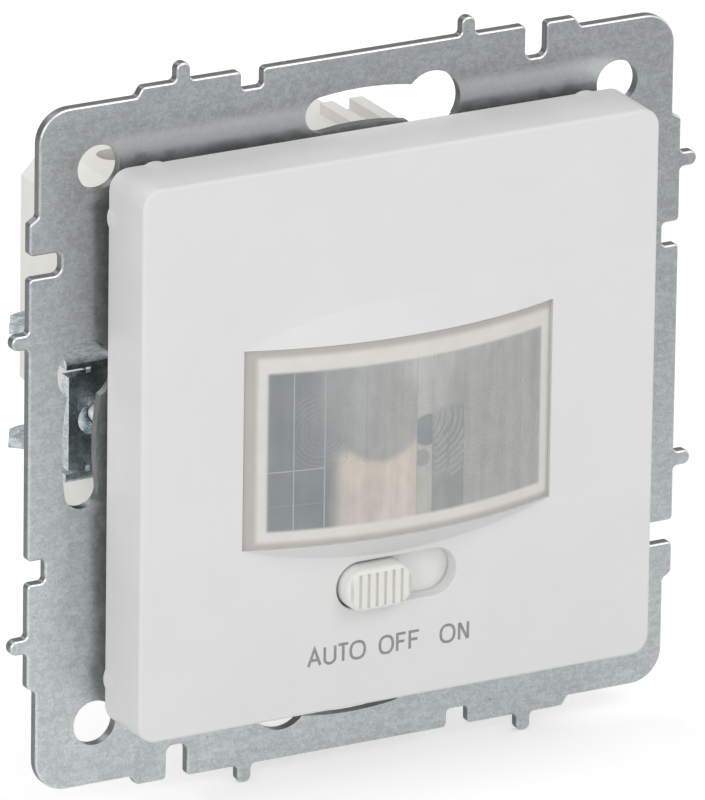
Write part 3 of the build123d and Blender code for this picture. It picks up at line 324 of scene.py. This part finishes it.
def circuit_board():
    """Solder mask with faint tracks under it."""
    finish = Finish("board_green", SOLDER_MASK, 0.32)
    turn = finish.add("ShaderNodeMapping")
    turn.inputs["Rotation"].default_value = (math.radians(90), 0, 0)
    finish.link(finish.place, turn.inputs["Vector"])
    tracks = finish.add("ShaderNodeTexBrick", offset=0.35, squash=1.6, squash_frequency=3)
    finish.link(turn.outputs["Vector"], tracks.inputs["Vector"])
    tracks.inputs["Scale"].default_value = 1.0 / (TRACK_PITCH * MM)
    tracks.inputs["Mortar Size"].default_value = 0.045
    tracks.inputs["Mortar Smooth"].default_value = 0.1
    lines = tracks.outputs["Fac"]
    base = finish.tint(finish.noise(3.0), 0.08)
    finish.paint(finish.mix(lines, base, TRACK_GREEN))
    finish.relief(lines, 0.03, 0.6)
    return finish.material


def milky_lens():
    """Translucent plastic: a thin milky haze over the faceted layer inside it."""
    finish = Finish("lens_milky", (0.75, 0.75, 0.73), 0.20, Specular_IOR_Level=0.45)
    clouds = finish.noise(3.5)
    finish.paint(finish.tint(clouds, 0.02))
    finish.vary("Alpha", clouds, 0.20, 0.24)
    finish.relief(finish.noise(0.5), 0.004, 0.5)
    return finish.material


# Colour, roughness, cloud size, grain size, depth of the relief and mottle
PLATED = {
    "claw_zinc": ((0.40, 0.45, 0.47), 0.18, 0.8, 0.16, 0.035, 0.30),
    "screw_steel": ((0.60, 0.62, 0.63), 0.22, 0.9, 0.12, 0.010),
    "terminal_steel": ((0.66, 0.62, 0.50), 0.30, 0.9, 0.12, 0.005),
    "can_nickel": ((0.62, 0.63, 0.64), 0.28, 1.1, 0.12, 0.003, 0.06),
    "switch_steel": ((0.66, 0.66, 0.64), 0.34, 0.8, 0.10, 0.004),
    "gold_pin": ((0.80, 0.62, 0.30), 0.28, 0.6, 0.10, 0.003, 0.05),
}

# Colour, roughness, grain size, depth of the relief and mottle
MOULDED = {
    "cover_white": ((0.805, 0.805, 0.800), 0.42, 0.22, 0.0025, 0.010),
    "knob_white": ((0.86, 0.855, 0.82), 0.46, 0.20, 0.003, 0.015),
    "housing_white": ((0.84, 0.83, 0.785), 0.50, 0.30, 0.006, 0.03),
    "window_dark": ((0.025, 0.027, 0.035), 0.08, 1.0, 0.0005, 0.05),
    "shroud_grey": ((0.22, 0.24, 0.26), 0.55),
    "black_plastic": ((0.022, 0.022, 0.024), 0.45, 0.2, 0.004, 0.15),
    "sensor_ceramic": ((0.62, 0.30, 0.17), 0.30, 0.4, 0.004, 0.10),
    "dial_cream": ((0.72, 0.69, 0.58), 0.45),
    "trimmer_blue": ((0.02, 0.065, 0.28), 0.38, 0.3, 0.004, 0.06),
    "relay_blue": ((0.02, 0.07, 0.24), 0.35, 0.5, 0.003, 0.05),
    "film_yellow": ((0.62, 0.38, 0.04), 0.42, 0.5, 0.006, 0.06),
    "can_sleeve": ((0.018, 0.020, 0.035), 0.28, 0.7, 0.003, 0.10),
    "varistor_blue": ((0.02, 0.09, 0.33), 0.40, 0.5, 0.010, 0.08),
    "fuse_brown": ((0.10, 0.035, 0.018), 0.42, 0.4, 0.005, 0.10),
}

materials = {name: plated(name, *row) for name, row in PLATED.items()}
materials.update({name: moulded(name, *row) for name, row in MOULDED.items()})
materials["galvanised_plate"] = galvanised()
materials["board_green"] = circuit_board()
materials["led_resin"] = moulded(
    "led_resin", (0.85, 0.55, 0.36), 0.12, 0.8, 0.001, 0.04, Alpha=0.85
)
materials["lens_milky"] = milky_lens()

for part in frame["record"]["subparts"]:
    mesh = nodes[part["node"]].data
    mesh.materials.clear()
    mesh.materials.append(materials[part["material_slot"]])


# The faceted layer in the lens. Boxes are low x, high x, low z and high z in mm, facets are
# the places of their edges along x, and levels are the ends of the two lines across the
# left facets.
SHEET = (-16.79, 16.79, -9.84, 10.64)
BORDER = (-15.35, 16.5, -9.15, 9.55)
WINDOW = (-14.35, 15.5, -8.05, 7.95)
FACETS = (-11.9, -8.9, -6.7, -4.7, -2.8, -1.0, 0.63, 2.36, 4.16, 5.95, 8.15, 10.5, 12.9)
LEVELS = ((-2.05, -1.91), (-5.53, -5.41))

# Its colours, and the share of each that is laid over what lies under it
LAYER_RIM = (0.53, 0.505, 0.47)
CREAM = (0.87, 0.845, 0.80, 1.0)
LEFT_BLUE = (0.165, 0.197, 0.222, 1.0)
PLAIN_GREY = (0.405, 0.415, 0.395, 1.0)
UPPER_GREY, UPPER_SHARE = (0.43, 0.445, 0.44, 1.0), 0.60
# Painted shadow of the round sensor, a little darker than the grey round it
SHADOW_GREY, SHADOW_SHARE = (0.39, 0.40, 0.395, 1.0), 0.55
WARM_HIGH, WARM_LOW = (0.71, 0.625, 0.545, 1.0), (0.69, 0.605, 0.565, 1.0)
WARM_SHARE = 0.95
DARK_BLUE, DARK_SHARE = (0.185, 0.225, 0.240, 1.0), 0.9
SPOT_SHARE, ROUND_SHARE = 0.7, 0.8
LIGHT_GREY, LIGHT_SHARE = (0.56, 0.56, 0.515, 1.0), 0.65
GLOW_GREY, GLOW_SHARE = (0.58, 0.58, 0.55, 1.0), 0.6

# Where its colours lie in mm: ramps have two ends, bands have four, and radii are round
# the centre named before them
BLUE_TO_GREY = (-9.2, -1.0)
UPPER_RAMP, UPPER_BAND = (-4.0, 6.0), (-12.0, -7.5, -2.0, 6.0)
SHADOW_CENTRE, SHADOW_RADII, WARM_RADII = (-3.0, 2.2), (3.4, 4.6), (3.7, 4.7)
WARM_BAND, WARM_RAMP, WARM_CHANGE = (-8.8, -6.5, 0.60, 0.66), (0.6, -1.4), (-3.0, -7.0)
DISC_BAND = (0.62, 0.66, 2.34, 2.38)
DISC_CENTRE, DISC_RADII = (1.75, 0.45), (1.45, 1.75)
SPOT_CENTRE, SPOT_RADII = (1.2, -2.3), (0.8, 1.0)
ROUND_BAND, ROUND_RAMP = (2.34, 2.38, 5.93, 5.97), (-1.0, -2.6)
ROUND_CENTRE, ROUND_RADII = (4.4, -1.6), (3.6, 4.6)
LIGHT_BAND = (0.64, 0.70, 3.2, 4.6)
GLOW_BAND, GLOW_RAMP = (-3.0, 1.5, 3.0, 9.0), (3.5, 7.5)
BORDER_SOFT, WINDOW_SOFT = 0.35, 0.22


def box_mask(finish, x, z, box, soft):
    """1 inside a box, with edges that fade over twice the soft width."""
    low_x, high_x, low_z, high_z = box
    return finish.both(
        finish.band(x, low_x - soft, low_x + soft, high_x - soft, high_x + soft),
        finish.band(z, low_z - soft, low_z + soft, high_z - soft, high_z + soft),
    )


def lens_core_finish():
    """What the lens shows: a cream border round blue-grey, grey and warm fields, with a
    painted shadow.
    """
    finish = Finish("lens_core", LAYER_RIM, 0.45)
    x, _, z = finish.axes()
    inside = finish.mix(finish.spread(x, *BLUE_TO_GREY), LEFT_BLUE, PLAIN_GREY)
    upper = finish.both(finish.spread(z, *UPPER_RAMP), finish.band(x, *UPPER_BAND))
    inside = finish.over(inside, upper, UPPER_SHARE, UPPER_GREY)
    # Painted shadow: a soft darker disc round the shadow centre
    sensor_shadow = finish.disc(x, z, SHADOW_CENTRE, SHADOW_RADII)
    inside = finish.over(inside, sensor_shadow, SHADOW_SHARE, SHADOW_GREY)

    warm = finish.spread(finish.distance(x, z, SHADOW_CENTRE), *WARM_RADII)
    warm = finish.both(warm, finish.band(x, *WARM_BAND))
    warm = finish.both(warm, finish.spread(z, *WARM_RAMP))
    peach = finish.mix(finish.spread(z, *WARM_CHANGE), WARM_HIGH, WARM_LOW)
    inside = finish.over(inside, warm, WARM_SHARE, peach)

    strip = finish.band(x, *DISC_BAND)
    disc = finish.both(finish.disc(x, z, DISC_CENTRE, DISC_RADII), strip)
    spot = finish.both(finish.disc(x, z, SPOT_CENTRE, SPOT_RADII), strip)
    disc = finish.math("MAXIMUM", disc, finish.both(spot, SPOT_SHARE))
    dome = finish.disc(x, z, ROUND_CENTRE, ROUND_RADII)
    dome = finish.math("MAXIMUM", dome, finish.spread(z, *ROUND_RAMP))
    dome = finish.both(finish.band(x, *ROUND_BAND), dome)
    blue = finish.math("MAXIMUM", disc, finish.both(dome, ROUND_SHARE))
    inside = finish.over(inside, blue, DARK_SHARE, DARK_BLUE)

    light = finish.both(finish.band(x, *LIGHT_BAND), finish.math("SUBTRACT", 1.0, blue))
    inside = finish.over(inside, light, LIGHT_SHARE, LIGHT_GREY)
    glow = finish.both(finish.band(x, *GLOW_BAND), finish.spread(z, *GLOW_RAMP))
    inside = finish.over(inside, glow, GLOW_SHARE, GLOW_GREY)
    streaks = finish.noise(1.5, 2.0, 0.6, finish.stretched(1.0, 1.0, 0.07))
    inside = finish.tint(streaks, 0.10, inside)
    patches = finish.noise(1.2, 3.0, 0.6, finish.stretched(1.0, 1.0, 0.6))
    inside = finish.tint(patches, 0.07, inside)

    border = finish.mix(box_mask(finish, x, z, BORDER, BORDER_SOFT), finish.color, CREAM)
    whole = finish.mix(box_mask(finish, x, z, WINDOW, WINDOW_SOFT), border, inside)
    finish.paint(finish.tint(finish.noise(2.2), 0.025, whole))
    finish.relief(finish.noise(0.6), 0.01, 0.5)
    return finish.material


def lens_line_finish(name, color, alpha):
    """Thin see-through plastic for the raised lines."""
    finish = Finish(name, color, 0.4, Alpha=alpha)
    finish.paint(finish.tint(finish.noise(0.8, 2.0), 0.06))
    finish.relief(finish.noise(0.3, 2.0), 0.002, 0.5)
    return finish.material


def print_ink():
    """The slightly uneven grey of a pad print."""
    finish = Finish("print_grey", (0.30, 0.30, 0.292), 0.55)
    finish.paint(finish.tint(finish.noise(0.35), 0.10))
    finish.relief(finish.noise(0.15, 2.0), 0.002, 0.5)
    return finish.material


# Helpers for pieces made here; they take millimetres

# The least share of a mitre's normal that is allowed for, which keeps sharp corners short
MITRE_LIMIT = 0.35


def to_object(name, bm, material, body):
    """A new piece from a bmesh, riding on a body."""
    bmesh.ops.recalc_face_normals(bm, faces=bm.faces)
    mesh = bpy.data.meshes.new(name)
    bm.to_mesh(mesh)
    bm.free()
    mesh.materials.append(material)
    piece = bpy.data.objects.new(name, mesh)
    bpy.context.scene.collection.objects.link(piece)
    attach(piece, body)


def skin(bm, rows, closed=False):
    """Faces between neighbouring rows of points, with a cap at each end unless closed."""
    around = len(rows[0])
    for i in range(len(rows) if closed else len(rows) - 1):
        one, two = rows[i], rows[(i + 1) % len(rows)]
        for k in range(around):
            j = (k + 1) % around
            bm.faces.new((one[k], one[j], two[j], two[k]))
    if not closed:
        bm.faces.new(rows[0])
        bm.faces.new(rows[-1])


def offset_sides(points, half, closed):
    """The points to the left and right of a flat path, with mitred corners."""
    left, right = [], []
    count = len(points)
    for i, point in enumerate(points):
        before = points[i - 1] if closed or i else None
        after = points[(i + 1) % count] if closed or i < count - 1 else None
        d1 = (point - before).normalized() if before is not None else None
        d2 = (after - point).normalized() if after is not None else None
        d1 = d1 or d2
        d2 = d2 or d1
        n1, n2 = Vector((-d1.y, d1.x)), Vector((-d2.y, d2.x))
        normal = (n1 + n2).normalized()
        reach = half / max(MITRE_LIMIT, normal.dot(n1))
        left.append(point + normal * reach)
        right.append(point - normal * reach)
    return left, right


def add_stroke(bm, points, width, back, front, place, closed=False):
    """A raised stroke through points (x, z), whose place(x, z, level) is in metres."""
    left, right = offset_sides(points, width / 2, closed)
    rows = [
        [
            bm.verts.new(place(p.x, p.y, level))
            for p, level in ((a, back), (a, front), (b, front), (b, back))
        ]
        for a, b in zip(left, right)
    ]
    skin(bm, rows, closed)


def on_plane(x, z, y):
    """A point on a plane that looks along -Y."""
    return Vector((x, y, z)) * MM


# The faceted layer in the lens: a curved sheet inside its wall, with raised facet edges
LENS_RADIUS = 48.0
LENS_AXIS_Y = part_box("fresnel_lens")[0][1] / MM + LENS_RADIUS
CORE_RADIUS = 47.6
CORE_BACK = 47.4
SHEET_COLUMNS = 72

# Facet edges: how far they stand out, stay off the window's edge and lean; the first ones
# are the strong ones, and those over the warm field end at its top
LINE_LIFT, LINE_GAP, LINE_LEAN = 0.03, 0.1, 0.03
STRONG_FACETS = 2
STRONG_WIDTH, FAINT_WIDTH = 0.12, 0.10
WARM_FACETS, WARM_FOOT = (-8.0, 0.0), -1.4
LONGEST_STEP = 0.5

# Rings: set, centre, (first radius, last radius, pitch), edges of the facets that they
# cross, lowest and highest z, and width
RING_LIFT = 0.025
RING_STEPS = 96
LAST_RING_EDGE = 15.4
RING_SETS = (
    ("fine", (-9.1, 1.7), (1.2, 7.4, 0.45), FACETS[:5], (-1.9, 5.4), 0.13),
    ("fine", (0.2, 1.2), (1.2, 5.4, 0.45), FACETS[4:7], (1.4, 5.2), 0.13),
    ("fine", (1.55, 0.45), (1.9, 4.2, 0.40), FACETS[6:8], (1.2, 4.4), 0.16),
    ("bold", (0.9, 1.7), (1.9, 6.8, 0.62), FACETS[7:9], (-4.6, 2.6), 0.30),
    ("bold", (2.4, 1.3), (1.9, 6.8, 0.62), FACETS[8:10], (-5.4, 2.2), 0.30),
    ("fine", (8.2, -0.5), (0.9, 7.4, 0.45), FACETS[9:] + (LAST_RING_EDGE,), (-6.2, 4.4), 0.16),
)


def on_lens(x, z, radius):
    """A point on a cylinder round the lens's upright axis."""
    return Vector((x, LENS_AXIS_Y - math.sqrt(radius * radius - x * x), z)) * MM


def lens_sheet():
    """The closed curved sheet between the layer's two radii."""
    bm = bmesh.new()
    low_x, high_x, low_z, high_z = SHEET
    corners = (
        (low_z, CORE_RADIUS), (high_z, CORE_RADIUS), (high_z, CORE_BACK), (low_z, CORE_BACK)
    )
    rows = []
    for i in range(SHEET_COLUMNS + 1):
        x = low_x + (high_x - low_x) * i / SHEET_COLUMNS
        rows.append([bm.verts.new(on_lens(x, z, radius)) for z, radius in corners])
    skin(bm, rows)
    return bm


def lens_stroke(bm, points, width, lift):
    """A raised line on the sheet, in steps short enough to follow its curve."""
    path = [Vector(points[0])]
    for point in points[1:]:
        start, end = path[-1], Vector(point)
        count = max(1, math.ceil(abs(end.x - start.x) / LONGEST_STEP))
        path += [start.lerp(end, (i + 1) / count) for i in range(count)]
    add_stroke(bm, path, width, CORE_BACK, CORE_RADIUS + lift, on_lens)


def rings_in_facet(bm, centre, radii, span_x, span_z, width):
    """The arcs of rings about a centre that lie in one facet."""
    for radius in radii:
        run = []
        for i in range(RING_STEPS + 1):
            angle = 2 * math.pi * i / RING_STEPS
            x = centre[0] + radius * math.cos(angle)
            z = centre[1] + radius * math.sin(angle)
            inside = span_x[0] < x < span_x[1] and span_z[0] < z < span_z[1]
            if inside:
                run.append((x, z))
            if not inside or i == RING_STEPS:
                if len(run) > 2:
                    lens_stroke(bm, run, width, RING_LIFT)
                run = []


def steps_from(start, stop, pitch):
    """Numbers from start on, a pitch apart, none past stop."""
    count = int((stop - start) / pitch) + 1
    return [start + pitch * i for i in range(count)]


def facet_lines(strong, faint):
    """The upright edges of the facets and the two lines across the left ones."""
    for number, x in enumerate(FACETS):
        lean = LINE_LEAN * (number % 3 - 1)
        over_warm = WARM_FACETS[0] < x < WARM_FACETS[1]
        foot = WARM_FOOT if over_warm else WINDOW[2] + LINE_GAP
        path = ((x - lean, foot), (x, 0.0), (x + lean, WINDOW[3] - LINE_GAP))
        is_strong = number < STRONG_FACETS
        lens_stroke(
            strong if is_strong else faint, path, STRONG_WIDTH if is_strong else FAINT_WIDTH,
            LINE_LIFT,
        )
    for bm, (left, right) in zip((strong, faint), LEVELS):
        path = ((WINDOW[0] + LINE_GAP, left), (FACETS[1], right))
        lens_stroke(bm, path, STRONG_WIDTH, LINE_LIFT)


to_object("lens_core", lens_sheet(), lens_core_finish(), "cover_assembly")

lines = {name: bmesh.new() for name in ("strong", "faint", "fine", "bold")}
facet_lines(lines["strong"], lines["faint"])
for kind, centre, radii, edges, span_z, width in RING_SETS:
    for span_x in zip(edges, edges[1:]):
        rings_in_facet(lines[kind], centre, steps_from(*radii), span_x, span_z, width)
for name, kind, color, alpha in (
    ("lens_facet_edges", "strong", (0.66, 0.69, 0.70), 0.62),
    ("lens_facet_steps", "faint", (0.60, 0.61, 0.60), 0.26),
    ("lens_rings", "fine", (0.70, 0.71, 0.70), 0.15),
    ("lens_rings_bold", "bold", (0.70, 0.73, 0.72), 0.42),
):
    finish = lens_line_finish(name + "_finish", color, alpha)
    to_object(name, lines[kind], finish, "cover_assembly")


# The slider's flange where it shows in the slot, and on to the slot's right end, with painted
# light
FLANGE_LEFT, FLANGE_RIGHT = 1.3, 7.8
FLANGE_MIDDLE, FLANGE_HALF = -15.35, 3.2
FLANGE_FRONT, FLANGE_BACK = -7.46, -6.95
FLANGE_STEPS = 24


def slider_floor():
    """A flat piece with a square left end and a round right one."""
    bm = bmesh.new()
    loop = [(FLANGE_LEFT, -FLANGE_HALF)]
    for i in range(FLANGE_STEPS + 1):
        angle = math.pi * (i / FLANGE_STEPS - 0.5)
        loop.append((
            FLANGE_RIGHT - FLANGE_HALF + FLANGE_HALF * math.cos(angle),
            FLANGE_HALF * math.sin(angle),
        ))
    loop.append((FLANGE_LEFT, FLANGE_HALF))
    rows = [
        [bm.verts.new(on_plane(x, z + FLANGE_MIDDLE, y)) for x, z in loop]
        for y in (FLANGE_FRONT, FLANGE_BACK)
    ]
    skin(bm, rows)
    return bm


# Painted light: this white is lighter than the knob's, to lift the shade on the slot's floor
lightened_floor_white = moulded("slider_floor", (0.93, 0.925, 0.905), 0.40, 0.25, 0.003, 0.012)
to_object("slider_floor", slider_floor(), lightened_floor_white, "slider")


# Lettering under the slider; a glyph's strokes are paths in a square of side 1
LETTER_BASE = -22.9
LETTER_HEIGHT = 2.0
STROKE = 0.28
COVER_FRONT = -9.3
INK_SUNK, INK_RAISED, INK_STEP = 0.010, 0.014, 0.002
OVAL_STEPS, OVAL_POWER = 28, 2.35
BOWL_STEPS, BOWL_HEIGHT = 12, 0.30


def oval():
    """A slightly squared oval that fills the square."""
    points = []
    for i in range(OVAL_STEPS):
        angle = 2 * math.pi * i / OVAL_STEPS
        points.append(tuple(
            0.5 + 0.5 * math.copysign(abs(part) ** (2 / OVAL_POWER), part)
            for part in (math.cos(angle), math.sin(angle))
        ))
    return points


def bowl():
    """A U, from its left stem to its right one."""
    points = [(0, 1)]
    for i in range(BOWL_STEPS + 1):
        angle = math.pi + math.pi * i / BOWL_STEPS
        points.append(
            (0.5 + 0.5 * math.cos(angle), BOWL_HEIGHT + BOWL_HEIGHT * math.sin(angle))
        )
    return points + [(1, 1)]


# Each stroke's path and whether it closes
GLYPHS = {
    "A": [([(0, 0), (0.5, 1), (1, 0)], False), ([(0.19, 0.34), (0.81, 0.34)], False)],
    "U": [(bowl(), False)],
    "T": [([(0, 1), (1, 1)], False), ([(0.5, 1), (0.5, 0)], False)],
    "O": [(oval(), True)],
    "F": [([(1, 1), (0, 1), (0, 0)], False), ([(0, 0.54), (0.86, 0.54)], False)],
    "N": [([(0, 0), (0, 1)], False), ([(1, 0), (1, 1)], False),
          ([(0.04, 1), (0.96, 0)], False)],
}

# Each letter's left and right edge
LETTERS = {
    "AUTO": (
        ("A", -9.55, -7.97), ("U", -7.78, -6.37), ("T", -6.30, -4.95), ("O", -4.95, -3.14),
    ),
    "OFF": (("O", -1.77, -0.08), ("F", 0.13, 1.31), ("F", 1.50, 2.76)),
    "ON": (("O", 4.90, 6.66), ("N", 6.92, 8.15)),
}


def word_mesh(letters):
    """The strokes of a word, each a little higher than the one it crosses."""
    bm = bmesh.new()
    inset = STROKE / 2
    height = LETTER_HEIGHT - STROKE
    for glyph, low, high in letters:
        width = high - low - STROKE
        for step, (points, closed) in enumerate(GLYPHS[glyph]):
            path = [
                Vector((low + inset + x * width, LETTER_BASE + inset + z * height))
                for x, z in points
            ]
            front = COVER_FRONT - INK_RAISED - INK_STEP * step
            add_stroke(bm, path, STROKE, COVER_FRONT + INK_SUNK, front, on_plane, closed)
    return bm


ink = print_ink()
for word, letters in LETTERS.items():
    to_object("word_" + word.lower(), word_mesh(letters), ink, "cover_assembly")


# Camera, from the fit of the photo
AZIMUTH, ELEVATION, ROLL = (math.radians(a) for a in (28.87, 20.07, 0.826))
DISTANCE = 1.3739
TARGET = Vector((0.12, 0.0, -0.16)) * MM
FOCAL_PX = 14326.2
LONG_SIDE_PX = 800
SENSOR = 36.0
CLIP_END = 20.0

away = Vector((
    -math.sin(AZIMUTH) * math.cos(ELEVATION),
    -math.cos(AZIMUTH) * math.cos(ELEVATION),
    math.sin(ELEVATION),
))
right = (-away).cross(Vector((0, 0, 1))).normalized()
up = right.cross(-away)
right, up = (
    math.cos(ROLL) * right + math.sin(ROLL) * up,
    -math.sin(ROLL) * right + math.cos(ROLL) * up,
)
lens = bpy.data.cameras.new("photo_camera")
lens.sensor_fit = "VERTICAL"
lens.sensor_height = SENSOR
lens.lens = FOCAL_PX * SENSOR / LONG_SIDE_PX
lens.clip_end = CLIP_END
camera = bpy.data.objects.new("photo_camera", lens)
bpy.context.scene.collection.objects.link(camera)
camera.matrix_world = (
    Matrix.Translation(TARGET + away * DISTANCE)
    @ Matrix((right, up, away)).transposed().to_4x4()
)
bpy.context.scene.camera = camera


# Light: a soft even studio, a little stronger from the upper right
WORLD_LIGHT = 0.73
WORLD_SHOWN = 1.0
FLOOR_GLOW = 0.42
FLOOR_HALF = 4.0


def area_light(name, place, size, power):
    """A round lamp in metres and watts that looks at the origin."""
    lamp = bpy.data.lights.new(name, "AREA")
    lamp.shape = "DISK"
    lamp.size = size
    lamp.energy = power
    holder = bpy.data.objects.new(name, lamp)
    bpy.context.scene.collection.objects.link(holder)
    holder.location = place
    holder.rotation_euler = (-Vector(place)).to_track_quat("-Z", "Y").to_euler()


def shown_directly(tree):
    """1 for what the camera sees, also in a reflection or through glass."""
    path = tree.nodes.new("ShaderNodeLightPath")
    seen = path.outputs["Is Camera Ray"]
    for name in ("Is Glossy Ray", "Is Transmission Ray"):
        either = tree.nodes.new("ShaderNodeMath")
        either.operation = "MAXIMUM"
        tree.links.new(seen, either.inputs[0])
        tree.links.new(path.outputs[name], either.inputs[1])
        seen = either.outputs[0]
    return seen


def background(tree, strength):
    """A plain background's shader."""
    node = tree.nodes.new("ShaderNodeBackground")
    node.inputs["Strength"].default_value = strength
    return node.outputs[0]


def pick(tree, share, first, second, out):
    """The first shader where share is 0 and the second where it is 1, on an output node."""
    blend = tree.nodes.new("ShaderNodeMixShader")
    tree.links.new(share, blend.inputs[0])
    tree.links.new(first, blend.inputs[1])
    tree.links.new(second, blend.inputs[2])
    tree.links.new(blend.outputs[0], out.inputs["Surface"])


area_light("key", (0.40, -0.94, 0.98), 0.9, 3.9)
area_light("fill", (-0.95, -0.80, 0.25), 1.0, 4.4)
area_light("back", (-0.3, 0.9, 0.9), 0.9, 4.0)

world = bpy.data.worlds.new("studio")
bpy.context.scene.world = world
world.use_nodes = True
tree = world.node_tree
tree.nodes.clear()
pick(
    tree, shown_directly(tree), background(tree, WORLD_LIGHT), background(tree, WORLD_SHOWN),
    tree.nodes.new("ShaderNodeOutputWorld"),
)


# Floor: pale, under the lowest tabs, with a glow that only the eye sees
def floor_finish():
    """A matt pale floor that shows as white and still takes the shadow."""
    finish = Finish("floor_pale", (0.80, 0.80, 0.80), 0.9, Specular_IOR_Level=0.0)
    finish.paint(finish.tint(finish.noise(400.0), 0.005))
    plain = finish.shader.outputs[0]
    glow = finish.add("ShaderNodeEmission")
    glow.inputs["Strength"].default_value = FLOOR_GLOW
    total = finish.add("ShaderNodeAddShader")
    finish.link(plain, total.inputs[0])
    finish.link(glow.outputs[0], total.inputs[1])
    out = next(node for node in finish.tree.nodes if node.type == "OUTPUT_MATERIAL")
    pick(finish.tree, shown_directly(finish.tree), plain, total.outputs[0], out)
    return finish.material


level = cad_box[0][2]
floor_mesh = bpy.data.meshes.new("floor")
floor_mesh.from_pydata(
    [
        (FLOOR_HALF * x, FLOOR_HALF * y, level)
        for x, y in ((-1, -1), (1, -1), (1, 1), (-1, 1))
    ],
    [], [(0, 1, 2, 3)],
)
floor_mesh.materials.append(floor_finish())
floor = bpy.data.objects.new("floor", floor_mesh)
bpy.context.scene.collection.objects.link(floor)

bpy.context.scene.view_settings.view_transform = "Standard"
